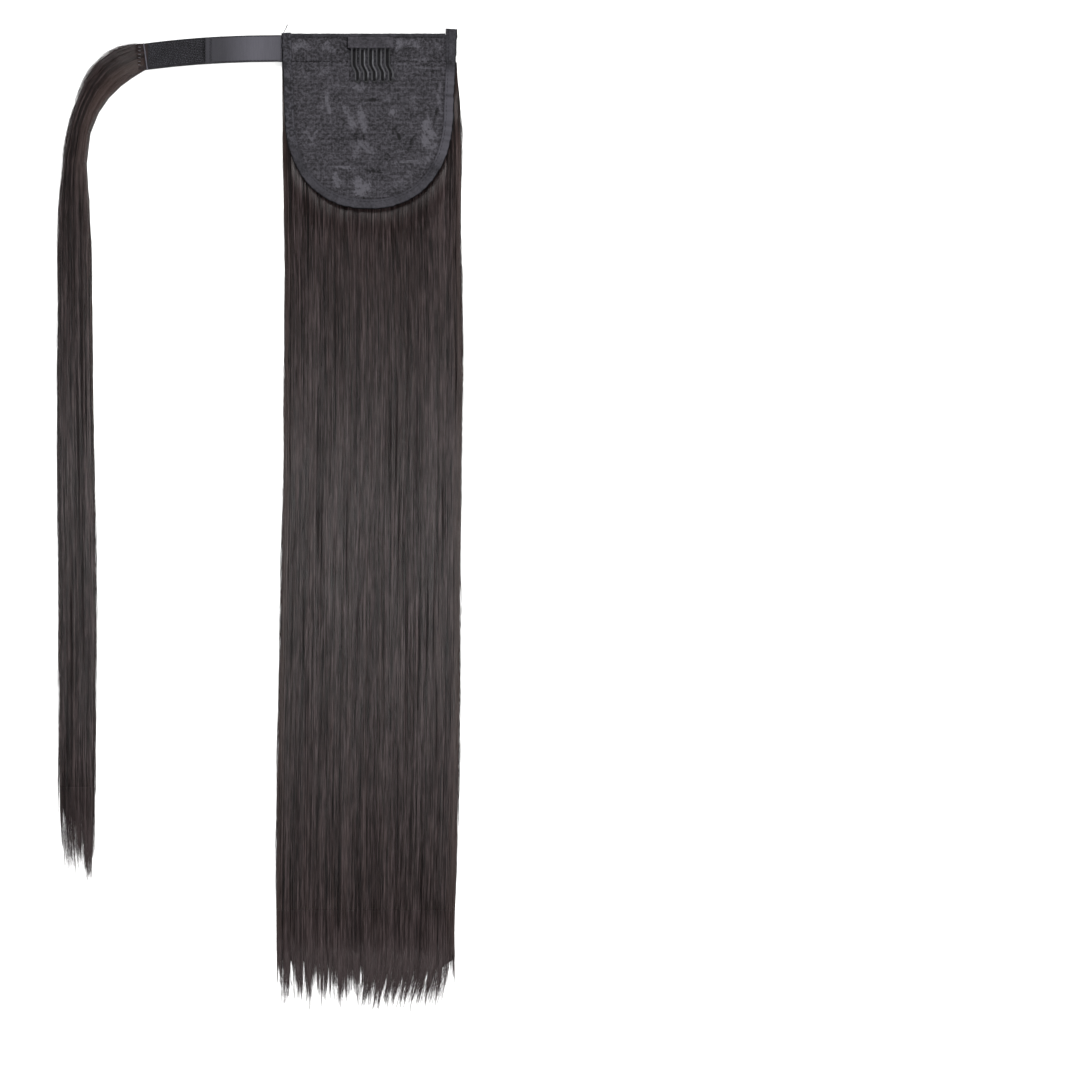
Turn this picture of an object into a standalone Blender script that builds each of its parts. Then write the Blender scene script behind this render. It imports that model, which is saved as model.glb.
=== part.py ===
"""Wrap-around ponytail hairpiece, lying flat with its inside face up.

The fall of hair hangs from a band of loop tape. A lace net cap with a bound edge
and a wire comb covers its root, and the tape runs on as a strap that ends in a
strand of hair. +Y points to the band's top edge and +Z up; the floor is z = 0.
The pieces are laid out round the middle of the band and then moved, so that the
origin is the middle of the whole footprint.
"""
import math

import bmesh
import bpy
import numpy as np

COLLECTION = "ponytail_hairpiece"

# Gap kept between pieces that touch
CLEAR = 0.0003

# Band of loop tape and its strap
TAPE_WIDTH = 0.0192
TAPE_THICK = 0.0015
STRAP_LENGTH = 0.0994
STRAP_DROP = 0.0060
STRAP_DROP_POWER = 2.2
STRAP_STATIONS = 12
HOOK_LENGTH = 0.0410
HOOK_THICK = 0.0012
RIBBON_THICK = 0.0007
SEAM_ON_TAPE = 0.0020
SEAM_ON_HAIR = 0.0050
SEAM_THICK = 0.0008

# Stitched track on the outside that the hair hangs from
WEFT_WIDTH = 0.0045
WEFT_THICK = 0.0012

# Net cap: straight sides, then a round end
CAP_TOP_HALF = 0.0631
CAP_TAPER = 0.0023
CAP_SIDE_DEPTH = 0.0540
CAP_ROUND_DEPTH = 0.0723
CAP_ROUND_POWER = 2.25
NET_THICK = 0.0010
NET_ROWS = 15
NET_COLUMNS = 12
NET_LAST_SHARE = 0.97

# Binding round the net's edge
BINDING_WIDTH = 0.0065
BINDING_THICK = 0.0009
BINDING_SKIRT = 0.0008
BINDING_TAIL_RIGHT = 0.0040
BINDING_TAIL_LEFT = 0.0012
BINDING_FLARE = 0.0013
BINDING_FLARE_LENGTH = 0.0240
BINDING_SIDE_STATIONS = 7
BINDING_ROUND_STATIONS = 28

# Hem over the band's top edge
HEM_WIDTH = 0.0016
HEM_THICK = 0.0006

# Wire comb and the ribbon sleeve over its spine
COMB_SHIFT = 0.0011
COMB_TEETH = 5
COMB_PITCH = 0.0060
COMB_TOOTH_WIDTH = 0.0032
COMB_TOOTH_LENGTH = 0.0270
COMB_KINK = 0.0026
COMB_WIRE_DIAMETER = 0.0011
COMB_SPINE_DIAMETER = 0.0016
COMB_SPINE_LENGTH = 0.0300
COMB_SPINE_LINE = 0.0022
SLEEVE_LENGTH = 0.0327
SLEEVE_WIDTH = 0.0080
SLEEVE_THICK = 0.0006

# Fall of hair; the spread is what its width adds to the cap's
HAIR_LENGTH = 0.6846
HAIR_SPREAD = 0.0048
HAIR_THICK = 0.0085
HAIR_CROWN_SHARE = 0.30
HAIR_GROOVE = 0.0013
HAIR_EDGE_POWER = 6.0

# Strand of hair that wraps round
STRAND_LENGTH = 0.6150
STRAND_WIDTH = 0.0262
STRAND_THICK = 0.0066
STRAND_GROOVE = 0.0012
STRAND_EDGE_POWER = 3.0

# Both hair pieces
LOCK_EDGE = 0.0009
LOCK_GAP = 0.0006

TAPE_LOW = WEFT_THICK + CLEAR
TAPE_TOP = TAPE_LOW + TAPE_THICK
NET_TOP = TAPE_TOP + CLEAR + NET_THICK
BAND_EDGE = TAPE_WIDTH / 2
HAIR_START = -BAND_EDGE - CLEAR
CAP_SIDE_END = BAND_EDGE - CAP_SIDE_DEPTH
CAP_LOW_HALF = CAP_TOP_HALF - CAP_TAPER
HAIR_WIDTH = 2 * CAP_TOP_HALF + HAIR_SPREAD


class Table:
    """Rows with named columns, read between rows by straight lines along the first."""

    def __init__(self, names, *rows):
        self.names = names.split()
        self.rows = rows
        self.columns = dict(zip(self.names, np.array(rows).T))

    def at(self, name, along):
        return float(np.interp(along, self.columns[self.names[0]], self.columns[name]))


# Fall, root to tips. along: share of its length. shift and width: shares of its width.
# bulk: 0 is level with the tape's top, 1 is the full thickness. groove: share of the depth.
HAIR_SECTIONS = Table(
    "along shift width bulk groove",
    (0.000, 0.000, 0.967, 0.00, 0.25),
    (0.020, 0.008, 0.980, 0.10, 0.25),
    (0.045, 0.014, 0.994, 0.30, 0.25),
    (0.075, 0.016, 0.998, 0.55, 0.28),
    (0.110, 0.015, 0.985, 0.80, 0.30),
    (0.156, 0.014, 0.966, 1.00, 0.45),
    (0.220, 0.020, 0.972, 0.97, 0.80),
    (0.300, 0.025, 0.985, 0.93, 1.00),
    (0.400, 0.020, 0.976, 0.84, 1.00),
    (0.520, 0.008, 0.984, 0.72, 1.00),
    (0.640, 0.002, 0.994, 0.60, 1.00),
    (0.760, -0.008, 1.000, 0.46, 1.00),
    (0.860, -0.018, 0.994, 0.32, 0.90),
    (0.915, -0.023, 0.985, 0.22, 0.80),
    (0.932, -0.024, 0.980, 0.18, 0.75),
    (0.945, -0.025, 0.976, 0.14, 0.70),
    (1.000, -0.030, 0.960, 0.00, 0.50),
)

# Locks of the fall, left to right. size: width against its neighbours. tip: share of the
# length. notch: rows by which the slit on its right reaches back. lean: tip's sideways
# shift in lock widths.
HAIR_LOCKS = Table(
    "lock size tip notch lean",
    (0, 0.90, 0.985, 1, -0.10),
    (1, 1.05, 0.979, 0, 0.20),
    (2, 0.85, 0.962, 2, 0.05),
    (3, 1.10, 0.989, 0, 0.10),
    (4, 0.95, 0.984, 1, -0.15),
    (5, 1.15, 0.996, 0, -0.25),
    (6, 0.90, 0.982, 0, 0.10),
    (7, 1.05, 0.987, 1, -0.20),
    (8, 0.95, 0.993, 0, -0.30),
    (9, 1.10, 0.998, 0, -0.20),
    (10, 0.90, 0.985, 1, -0.35),
    (11, 1.05, 0.997, 0, -0.30),
    (12, 1.10, 1.000, 1, -0.40),
    (13, 0.95, 0.998, 0, -0.45),
    (14, 1.05, 0.989, 1, -0.50),
    (15, 0.90, 0.972, 0, -0.40),
)

# Strand, root to tips. turn: degrees that it has turned down from straight left.
STRAND_SECTIONS = Table(
    "along turn width bulk groove",
    (0.000, 0.0, 0.71, 0.00, 0.25),
    (0.011, 17.0, 0.83, 0.00, 0.30),
    (0.024, 29.0, 0.90, 0.45, 0.50),
    (0.041, 38.0, 0.93, 0.80, 0.80),
    (0.061, 53.0, 0.87, 0.95, 0.90),
    (0.080, 62.0, 0.74, 1.00, 1.00),
    (0.097, 66.0, 0.66, 1.00, 1.00),
    (0.117, 74.5, 0.60, 1.00, 1.00),
    (0.143, 82.0, 0.61, 0.97, 1.00),
    (0.172, 88.0, 0.67, 0.92, 1.00),
    (0.210, 91.0, 0.82, 0.86, 1.00),
    (0.260, 90.4, 0.91, 0.80, 1.00),
    (0.360, 90.0, 0.91, 0.76, 1.00),
    (0.480, 90.5, 0.97, 0.72, 1.00),
    (0.600, 91.0, 1.00, 0.68, 1.00),
    (0.730, 90.0, 1.00, 0.58, 1.00),
    (0.850, 89.4, 0.97, 0.44, 0.90),
    (0.910, 91.0, 0.95, 0.32, 0.80),
    (0.930, 92.0, 0.92, 0.26, 0.70),
    (1.000, 96.0, 0.86, 0.05, 0.50),
)

# Locks of the strand, outer edge to inner edge at the bend
STRAND_LOCKS = Table(
    "lock size tip notch lean",
    (0, 0.85, 0.962, 1, -0.30),
    (1, 1.10, 0.978, 0, -0.20),
    (2, 0.95, 0.985, 1, -0.10),
    (3, 1.10, 1.000, 0, 0.10),
    (4, 0.90, 0.980, 1, 0.30),
)

# Sections of a loose tip past the last shared row, root to point.
# reach: share of the way. size: share of the lock's width. height: share of its height.
TIP_SECTIONS = Table(
    "reach size height",
    (0.40, 0.74, 0.82),
    (0.76, 0.42, 0.58),
    (1.00, 0.06, 0.25),
)

# Points over a lock, left foot to right foot. across: share of its width.
# sink: share of the groove's depth.
LOCK_PROFILE = Table(
    "across sink",
    (0.00, 1.00),
    (0.20, 0.32),
    (0.50, 0.00),
    (0.80, 0.32),
    (1.00, 1.00),
)

# Colour of each finish: red, green, blue, roughness
FINISHES = {
    "loop_pile": (0.018, 0.018, 0.019, 0.95),
    "hook_tape": (0.034, 0.034, 0.036, 0.75),
    "satin_ribbon": (0.095, 0.093, 0.103, 0.38),
    "lace_net": (0.052, 0.052, 0.058, 0.80),
    "binding_tape": (0.036, 0.036, 0.041, 0.70),
    "weft_thread": (0.040, 0.039, 0.041, 0.80),
    "comb_wire": (0.030, 0.030, 0.032, 0.35),
    "hair_fibre": (0.052, 0.045, 0.044, 0.45),
}


def clear_scene():
    for obj in list(bpy.data.objects):
        bpy.data.objects.remove(obj, do_unlink=True)


def finish(name):
    """The named finish as a material, made once."""
    material = bpy.data.materials.get(name)
    if material is None:
        red, green, blue, roughness = FINISHES[name]
        material = bpy.data.materials.new(name)
        material.use_nodes = True
        shader = material.node_tree.nodes["Principled BSDF"]
        shader.inputs["Base Color"].default_value = (red, green, blue, 1.0)
        shader.inputs["Roughness"].default_value = roughness
        shader.inputs["Metallic"].default_value = 0.6 if name == "comb_wire" else 0.0
        material.diffuse_color = (red, green, blue, 1.0)
    return material


def place_object(name, data, finish_name):
    """Put a mesh or curve into the part's collection and under its root."""
    obj = bpy.data.objects.new(name, data)
    data.materials.append(finish(finish_name))
    bpy.data.collections[COLLECTION].objects.link(obj)
    obj.parent = bpy.data.objects["root"]
    return obj


def mesh_object(name, bm, finish_name, sharp_degrees=50):
    mesh = bpy.data.meshes.new(name)
    bm.to_mesh(mesh)
    bm.free()
    mesh.shade_smooth()
    mesh.set_sharp_from_angle(angle=math.radians(sharp_degrees))
    return place_object(name, mesh, finish_name)


def flat_piece(name, outline, thick, finish_name):
    """A closed outline in the object's own XY plane, filled, its thickness centred on it."""
    curve = bpy.data.curves.new(name, "CURVE")
    curve.dimensions = "2D"
    curve.fill_mode = "BOTH"
    curve.extrude = thick / 2
    spline = curve.splines.new("POLY")
    spline.points.add(len(outline) - 1)
    for point, (x, y) in zip(spline.points, outline):
        point.co = (x, y, 0.0, 1.0)
    spline.use_cyclic_u = True
    return place_object(name, curve, finish_name)


def strap_line(x):
    """Middle line of the band and strap: straight over the cap, then sagging to the left."""
    past_cap = max(0.0, -CAP_TOP_HALF - x)
    return -STRAP_DROP * (past_cap / STRAP_LENGTH) ** STRAP_DROP_POWER


def band_strip(name, left, right, width, low, thick, finish_name):
    """A flat strip that follows the strap's line between two places."""
    stations = np.linspace(left, right, STRAP_STATIONS + 1)
    upper = [(x, strap_line(x) + width / 2) for x in stations]
    lower = [(x, strap_line(x) - width / 2) for x in stations[::-1]]
    strip = flat_piece(name, upper + lower, thick, finish_name)
    strip.location.z = low + thick / 2
    return strip


def hair_centre(along):
    return HAIR_WIDTH * HAIR_SECTIONS.at("shift", along)


def pile_top(x, y):
    """Height of the gently crowned surface that the cap lies on: tape, then hair."""
    along = max(0.0, (HAIR_START - y) / HAIR_LENGTH)
    rise = (HAIR_THICK - TAPE_TOP) * HAIR_SECTIONS.at("bulk", along)
    across = (x - hair_centre(along)) / (HAIR_WIDTH / 2)
    return TAPE_TOP + rise * (1.0 - HAIR_CROWN_SHARE * across * across)


def cap_half(y, inset=0.0):
    """Half width of the cap's outline at y, or of a line that lies inset within it."""
    if y >= CAP_SIDE_END:
        share = (BAND_EDGE - y) / CAP_SIDE_DEPTH
        return CAP_TOP_HALF - CAP_TAPER * share - inset
    depth = min(1.0, (CAP_SIDE_END - y) / (CAP_ROUND_DEPTH - inset))
    return (CAP_LOW_HALF - inset) * (1.0 - depth ** CAP_ROUND_POWER) ** (1.0 / CAP_ROUND_POWER)


def loft(bm, sections):
    """Join rings of as many points each into a closed solid with flat ends."""
    rings = [[bm.verts.new(point) for point in section] for section in sections]
    for ring, following in zip(rings, rings[1:]):
        for i in range(len(ring)):
            j = (i + 1) % len(ring)
            bm.faces.new((ring[i], ring[j], following[j], following[i]))
    bm.faces.new(rings[0])
    bm.faces.new(rings[-1])
    bmesh.ops.recalc_face_normals(bm, faces=bm.faces)


def build_band():
    strap_end = -CAP_TOP_HALF - STRAP_LENGTH
    tape_end = CAP_TOP_HALF - BINDING_SKIRT - CLEAR
    hook_left = strap_end + SEAM_ON_TAPE + CLEAR
    hook_right = hook_left + HOOK_LENGTH
    on_tape = TAPE_TOP + CLEAR
    band_strip("loop_tape", strap_end, tape_end, TAPE_WIDTH, TAPE_LOW, TAPE_THICK, "loop_pile")
    band_strip("hook_patch", hook_left, hook_right, TAPE_WIDTH, on_tape, HOOK_THICK, "hook_tape")
    band_strip("strap_ribbon", hook_right + CLEAR, -CAP_TOP_HALF - CLEAR, TAPE_WIDTH,
               on_tape, RIBBON_THICK, "satin_ribbon")
    band_strip("strand_seam", strap_end - SEAM_ON_HAIR, strap_end + SEAM_ON_TAPE, TAPE_WIDTH,
               on_tape, SEAM_THICK, "weft_thread")


def build_weft_track():
    half = CAP_TOP_HALF - BINDING_SKIRT
    outline = [(-half, -BAND_EDGE), (half, -BAND_EDGE),
               (half, WEFT_WIDTH - BAND_EDGE), (-half, WEFT_WIDTH - BAND_EDGE)]
    track = flat_piece("weft_track", outline, WEFT_THICK, "weft_thread")
    track.location.z = WEFT_THICK / 2


def build_net_cap():
    """The net as one draped sheet; its lower face follows the tape and the hair."""
    inset = BINDING_SKIRT + CLEAR
    bm = bmesh.new()
    rows = []
    side_rows = NET_ROWS // 2
    round_rows = NET_ROWS - side_rows
    depths = [CAP_SIDE_DEPTH * i / side_rows for i in range(side_rows)]
    for i in range(round_rows + 1):
        share = NET_LAST_SHARE * math.sin(math.pi / 2 * i / round_rows)
        depths.append(CAP_SIDE_DEPTH + (CAP_ROUND_DEPTH - inset) * share)
    for depth in depths:
        y = BAND_EDGE - depth
        half = cap_half(y, inset)
        places = [half * (2.0 * i / NET_COLUMNS - 1.0) for i in range(NET_COLUMNS + 1)]
        rows.append([bm.verts.new((x, y, pile_top(x, y) + CLEAR)) for x in places])
    for row, lower in zip(rows, rows[1:]):
        for i in range(NET_COLUMNS):
            bm.faces.new((lower[i], lower[i + 1], row[i + 1], row[i]))
    net = mesh_object("net_cap", bm, "lace_net")
    wall = net.modifiers.new("thickness", "SOLIDIFY")
    wall.thickness = NET_THICK
    wall.offset = 1.0


def cap_outline():
    """The cap's edge from the right tail's end, round the bottom, to the left tail's end."""
    def side(tail):
        heights = np.linspace(BAND_EDGE + tail, CAP_SIDE_END, BINDING_SIDE_STATIONS + 1)
        return [(cap_half(y), y) for y in heights]

    power = 2.0 / CAP_ROUND_POWER
    bend = []
    for i in range(1, BINDING_ROUND_STATIONS):
        angle = math.pi * i / BINDING_ROUND_STATIONS
        across = math.copysign(abs(math.cos(angle)) ** power, math.cos(angle))
        drop = math.sin(angle) ** power
        bend.append((CAP_LOW_HALF * across, CAP_SIDE_END - CAP_ROUND_DEPTH * drop))
    right = side(BINDING_TAIL_RIGHT)
    left = [(-x, y) for x, y in reversed(side(BINDING_TAIL_LEFT))]
    return right + bend + left


def build_cap_binding():
    """An L-shaped strip swept round the net: a flange on its rim and a skirt past its edge."""
    outline = cap_outline()
    top = BAND_EDGE + BINDING_TAIL_RIGHT
    sections = []
    for i, (x, y) in enumerate(outline):
        before = outline[max(0, i - 1)]
        after = outline[min(len(outline) - 1, i + 1)]
        run = (after[0] - before[0], after[1] - before[1])
        length = math.hypot(*run)
        outward = (-run[1] / length, run[0] / length)
        flare = max(0.0, 1.0 - (top - y) / BINDING_FLARE_LENGTH) if x > 0 else 0.0
        width = BINDING_WIDTH + BINDING_FLARE * flare

        def corner(inward, lift):
            px = x - outward[0] * inward
            py = y - outward[1] * inward
            return (px, py, pile_top(px, py) + lift)

        low = CLEAR
        rim = CLEAR + NET_THICK + CLEAR
        sections.append([corner(width, rim), corner(width, rim + BINDING_THICK),
                         corner(0.0, rim + BINDING_THICK), corner(0.0, low),
                         corner(BINDING_SKIRT, low), corner(BINDING_SKIRT, rim)])
    bm = bmesh.new()
    loft(bm, sections)
    mesh_object("cap_binding", bm, "binding_tape", 35)


def build_end_fold():
    """The binding's right end, turned round the tape's end and under it."""
    right = CAP_TOP_HALF
    left = right - BINDING_WIDTH - BINDING_FLARE
    low = CLEAR
    high = low + BINDING_THICK
    wall = right - BINDING_SKIRT
    profile = [(left, low), (right, low), (right, TAPE_TOP), (wall, TAPE_TOP),
               (wall, high), (left, high)]
    bottom = WEFT_WIDTH - BAND_EDGE + CLEAR
    top = BAND_EDGE + BINDING_TAIL_RIGHT
    fold = flat_piece("end_fold", profile, top - bottom, "binding_tape")
    fold.rotation_euler = (math.radians(90), 0.0, 0.0)
    fold.location.y = (top + bottom) / 2


def build_top_hem():
    """A narrow hem that turns over the band's top edge, between the binding's ends."""
    inner = BAND_EDGE - HEM_WIDTH
    face = BAND_EDGE + CLEAR
    outer = face + HEM_THICK
    low = NET_TOP + CLEAR
    high = low + HEM_THICK
    profile = [(inner, low), (face, low), (face, TAPE_LOW), (outer, TAPE_LOW),
               (outer, high), (inner, high)]
    half = CAP_TOP_HALF - BINDING_WIDTH - BINDING_FLARE - CLEAR
    hem = flat_piece("top_hem", profile, 2 * half, "binding_tape")
    hem.rotation_euler = (math.radians(90), 0.0, math.radians(90))


def comb_route():
    """The comb's one wire: down and up each tooth, and through the spine to the next."""
    radius = COMB_WIRE_DIAMETER / 2
    spine_raise = COMB_SPINE_DIAMETER / 2 - radius
    turn = COMB_TOOTH_WIDTH / 2
    legs = Table(
        "down kink lift",
        (0.00, 0.0, 1.0),
        (0.22, 0.0, 0.0),
        (0.42, 0.0, 0.0),
        (0.56, 0.0, 0.0),
        (0.68, 0.5, 0.0),
        (0.80, 1.0, 0.0),
        (1.00, 1.0, 0.0),
    )
    straight = COMB_TOOTH_LENGTH - turn
    route = []
    for tooth in range(COMB_TEETH):
        middle = COMB_SHIFT + COMB_PITCH * (tooth - (COMB_TEETH - 1) / 2)
        down = [(middle - turn + COMB_KINK * kink, COMB_SPINE_LINE - straight * share,
                 spine_raise * lift) for share, kink, lift in legs.rows]
        up = [(x + COMB_TOOTH_WIDTH, y, lift) for x, y, lift in reversed(down)]
        tip_x = middle + COMB_KINK
        tip_y = COMB_SPINE_LINE - straight
        round_tip = [(tip_x - turn * math.cos(angle), tip_y - turn * math.sin(angle), 0.0)
                     for angle in np.linspace(0.0, math.pi, 7)[1:-1]]
        route += down + round_tip + up
    rest = CLEAR + NET_THICK + CLEAR + radius
    return [(x, y, pile_top(x, y) + rest + lift) for x, y, lift in route]


def wire_mesh(name, route, diameter):
    """A bevelled curve along a route, made a closed mesh."""
    curve = bpy.data.curves.new(name, "CURVE")
    curve.dimensions = "3D"
    curve.bevel_depth = diameter / 2
    curve.bevel_resolution = 2
    curve.use_fill_caps = True
    spline = curve.splines.new("POLY")
    spline.points.add(len(route) - 1)
    for point, place in zip(spline.points, route):
        point.co = (*place, 1.0)
    guide = bpy.data.objects.new(name + "_curve", curve)
    bpy.context.scene.collection.objects.link(guide)
    depsgraph = bpy.context.evaluated_depsgraph_get()
    mesh = bpy.data.meshes.new_from_object(guide.evaluated_get(depsgraph))
    mesh.transform(guide.matrix_world)
    bpy.data.objects.remove(guide, do_unlink=True)
    bm = bmesh.new()
    bm.from_mesh(mesh)
    bmesh.ops.remove_doubles(bm, verts=bm.verts, dist=0.00001)
    bmesh.ops.recalc_face_normals(bm, faces=bm.faces)
    bm.to_mesh(mesh)
    bm.free()
    mesh.name = name
    mesh.materials.clear()
    return mesh


def build_comb():
    """The bent wire with the spine rod soldered across its top."""
    rise = NET_TOP + CLEAR + COMB_SPINE_DIAMETER / 2
    half = COMB_SPINE_LENGTH / 2
    ends = [(COMB_SHIFT - half, COMB_SPINE_LINE, rise), (COMB_SHIFT + half, COMB_SPINE_LINE, rise)]
    rod = bpy.data.objects.new("spine_rod", wire_mesh("spine_rod", ends, COMB_SPINE_DIAMETER))
    bpy.data.collections["cutters"].objects.link(rod)
    rod.hide_render = True
    rod.display_type = "WIRE"
    rod.parent = bpy.data.objects["root"]
    comb = place_object("comb", wire_mesh("comb", comb_route(), COMB_WIRE_DIAMETER), "comb_wire")
    join = comb.modifiers.new("solder", "BOOLEAN")
    join.operation = "UNION"
    join.object = rod
    comb.data.shade_smooth()


def build_comb_sleeve():
    """A ribbon over the spine: stitched down above it, arched over it, open at the teeth."""
    on_net = NET_TOP + CLEAR
    over_spine = on_net + COMB_SPINE_DIAMETER + CLEAR
    arch = Table(
        "down lift",
        (0.00, 0.0),
        (0.30, 0.0),
        (0.48, 0.8),
        (0.60, 1.0),
        (0.90, 1.0),
        (1.00, 0.9),
    )
    top = COMB_SPINE_LINE + SLEEVE_WIDTH * 0.72
    left = COMB_SHIFT - SLEEVE_LENGTH / 2
    bm = bmesh.new()
    rows = []
    for down, lift in arch.rows:
        y = top - SLEEVE_WIDTH * down
        z = on_net + (over_spine - on_net) * lift
        rows.append([bm.verts.new((left, y, z)), bm.verts.new((left + SLEEVE_LENGTH, y, z))])
    for row, lower in zip(rows, rows[1:]):
        bm.faces.new((lower[0], lower[1], row[1], row[0]))
    sleeve = mesh_object("comb_sleeve", bm, "satin_ribbon")
    wall = sleeve.modifiers.new("thickness", "SOLIDIFY")
    wall.thickness = SLEEVE_THICK
    wall.offset = 1.0


def lock_spans(locks):
    """Left and right foot of each lock, across from -1 to 1."""
    sizes = locks.columns["size"]
    edges = np.concatenate(([0.0], np.cumsum(sizes))) / sizes.sum() * 2.0 - 1.0
    return list(zip(edges[:-1], edges[1:]))


def lock_sheet(name, place, height, half_width, sections, locks, groove):
    """Loft locks side by side over one backing, and each past it to its own point.

    place(along, across) gives a point of the plan and height(along, across) the top of
    the pile there. Neighbours share a narrow valley up to their notch's row, where a slit
    begins, and the underside is flat on the floor.
    """
    shared = [row[0] for row in sections.rows[:-1]]
    spans = lock_spans(locks)
    last = len(shared) - 1
    bm = bmesh.new()
    tops = []
    feet = []
    for (left, right), tip, lean in zip(spans, locks.columns["tip"], locks.columns["lean"]):
        stations = [(along, 1.0, 1.0, 0.0) for along in shared]
        for reach, size, low in TIP_SECTIONS.rows:
            along = shared[-1] + (tip - shared[-1]) * reach
            stations.append((along, size, low, lean * reach))
        lock_tops = []
        lock_feet = []
        for along, size, low, drift in stations:
            slit = LOCK_GAP / 2 / half_width(along)
            middle = (left + right) / 2 + drift * (right - left)
            half = ((right - left) / 2 - slit) * size
            depth = groove * sections.at("groove", along)
            ring = []
            for share, sink in LOCK_PROFILE.rows:
                across = middle + half * (2.0 * share - 1.0)
                lift = max(LOCK_EDGE, height(along, across) - depth * sink) * low
                ring.append(bm.verts.new((*place(along, across), lift)))
            lock_tops.append(ring)
            lock_feet.append([bm.verts.new((*place(along, middle + side), 0.0))
                              for side in (-half, half)])
        tops.append(lock_tops)
        feet.append(lock_feet)

    notches = [last - int(back) for back in locks.columns["notch"]]
    for i, (ring, foot) in enumerate(zip(tops, feet)):
        for j in range(len(ring) - 1):
            for k in range(len(ring[j]) - 1):
                bm.faces.new((ring[j][k], ring[j][k + 1], ring[j + 1][k + 1], ring[j + 1][k]))
            bm.faces.new((foot[j][0], foot[j][1], foot[j + 1][1], foot[j + 1][0]))
            if i == 0 or j >= notches[i - 1]:
                bm.faces.new((ring[j][0], ring[j + 1][0], foot[j + 1][0], foot[j][0]))
            if i == len(tops) - 1 or j >= notches[i]:
                bm.faces.new((ring[j][-1], ring[j + 1][-1], foot[j + 1][1], foot[j][1]))
        bm.faces.new([*ring[0], foot[0][1], foot[0][0]])
        bm.faces.new([*ring[-1], foot[-1][1], foot[-1][0]])
    for i, notch in enumerate(notches[:-1]):
        for row in (0, notch):
            bm.faces.new((tops[i][row][-1], tops[i + 1][row][0],
                          feet[i + 1][row][0], feet[i][row][1]))
        for j in range(notch):
            bm.faces.new((tops[i][j][-1], tops[i + 1][j][0],
                          tops[i + 1][j + 1][0], tops[i][j + 1][-1]))
            bm.faces.new((feet[i][j][1], feet[i + 1][j][0],
                          feet[i + 1][j + 1][0], feet[i][j + 1][1]))
    bmesh.ops.recalc_face_normals(bm, faces=bm.faces)
    return mesh_object(name, bm, "hair_fibre")


def rounded(across, power):
    """Share of the pile's height left towards its side edges."""
    return math.sqrt(max(0.0, 1.0 - min(1.0, abs(across)) ** power))


def build_hair_fall():
    def half_width(along):
        return HAIR_WIDTH * HAIR_SECTIONS.at("width", along) / 2

    def place(along, across):
        return (hair_centre(along) + half_width(along) * across, HAIR_START - HAIR_LENGTH * along)

    def height(along, across):
        return pile_top(*place(along, across)) * rounded(across, HAIR_EDGE_POWER)

    lock_sheet("hair_fall", place, height, half_width, HAIR_SECTIONS, HAIR_LOCKS, HAIR_GROOVE)


def strand_spine():
    """Points and headings along the strand's middle line, from the strap's end."""
    steps = 600
    alongs = (np.arange(steps) + 0.5) / steps
    turns = np.radians([STRAND_SECTIONS.at("turn", along) for along in alongs])
    step = STRAND_LENGTH / steps
    start_x = -CAP_TOP_HALF - STRAP_LENGTH - CLEAR
    xs = start_x - np.concatenate(([0.0], np.cumsum(np.cos(turns)))) * step
    ys = strap_line(start_x) - np.concatenate(([0.0], np.cumsum(np.sin(turns)))) * step
    return np.linspace(0.0, 1.0, steps + 1), xs, ys


def build_wrap_strand():
    marks, xs, ys = strand_spine()

    def half_width(along):
        return STRAND_WIDTH * STRAND_SECTIONS.at("width", along) / 2

    def place(along, across):
        turn = math.radians(STRAND_SECTIONS.at("turn", along))
        reach = -half_width(along) * across
        x = np.interp(along, marks, xs) - math.sin(turn) * reach
        y = np.interp(along, marks, ys) + math.cos(turn) * reach
        return (float(x), float(y))

    def height(along, across):
        rise = (STRAND_THICK - TAPE_TOP) * STRAND_SECTIONS.at("bulk", along)
        return (TAPE_TOP + rise) * rounded(across, STRAND_EDGE_POWER)

    lock_sheet("wrap_strand", place, height, half_width, STRAND_SECTIONS, STRAND_LOCKS,
               STRAND_GROOVE)


def centre_footprint():
    """Move the root so that the origin is the middle of the footprint, on the floor."""
    bpy.context.view_layer.update()
    depsgraph = bpy.context.evaluated_depsgraph_get()
    corners = []
    for obj in bpy.data.collections[COLLECTION].objects:
        if obj.type != "EMPTY":
            shape = obj.evaluated_get(depsgraph)
            mesh = shape.to_mesh()
            points = [shape.matrix_world @ vertex.co for vertex in mesh.vertices]
            corners += [tuple(point) for point in points]
            shape.to_mesh_clear()
    corners = np.array(corners)
    middle = (corners.min(axis=0) + corners.max(axis=0)) / 2
    bpy.data.objects["root"].location = (-middle[0], -middle[1], 0.0)


def main():
    clear_scene()
    for name in (COLLECTION, "cutters"):
        collection = bpy.data.collections.new(name)
        bpy.context.scene.collection.children.link(collection)
    root = bpy.data.objects.new("root", None)
    bpy.data.collections[COLLECTION].objects.link(root)
    build_band()
    build_weft_track()
    build_hair_fall()
    build_wrap_strand()
    build_net_cap()
    build_cap_binding()
    build_end_fold()
    build_top_hem()
    build_comb()
    build_comb_sleeve()
    centre_footprint()


main()
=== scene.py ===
"""Looks for the wrap-around ponytail hairpiece, laid out as a Blender add-on.

Everything is built in the row frame, in metres: z = 0 is the floor, +Y runs to the
band's top edge and the hairpiece lies with its inside face up. Shape functions work in
the band frame, whose origin is the middle of the band, as the CAD part does.
"""
import math

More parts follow.
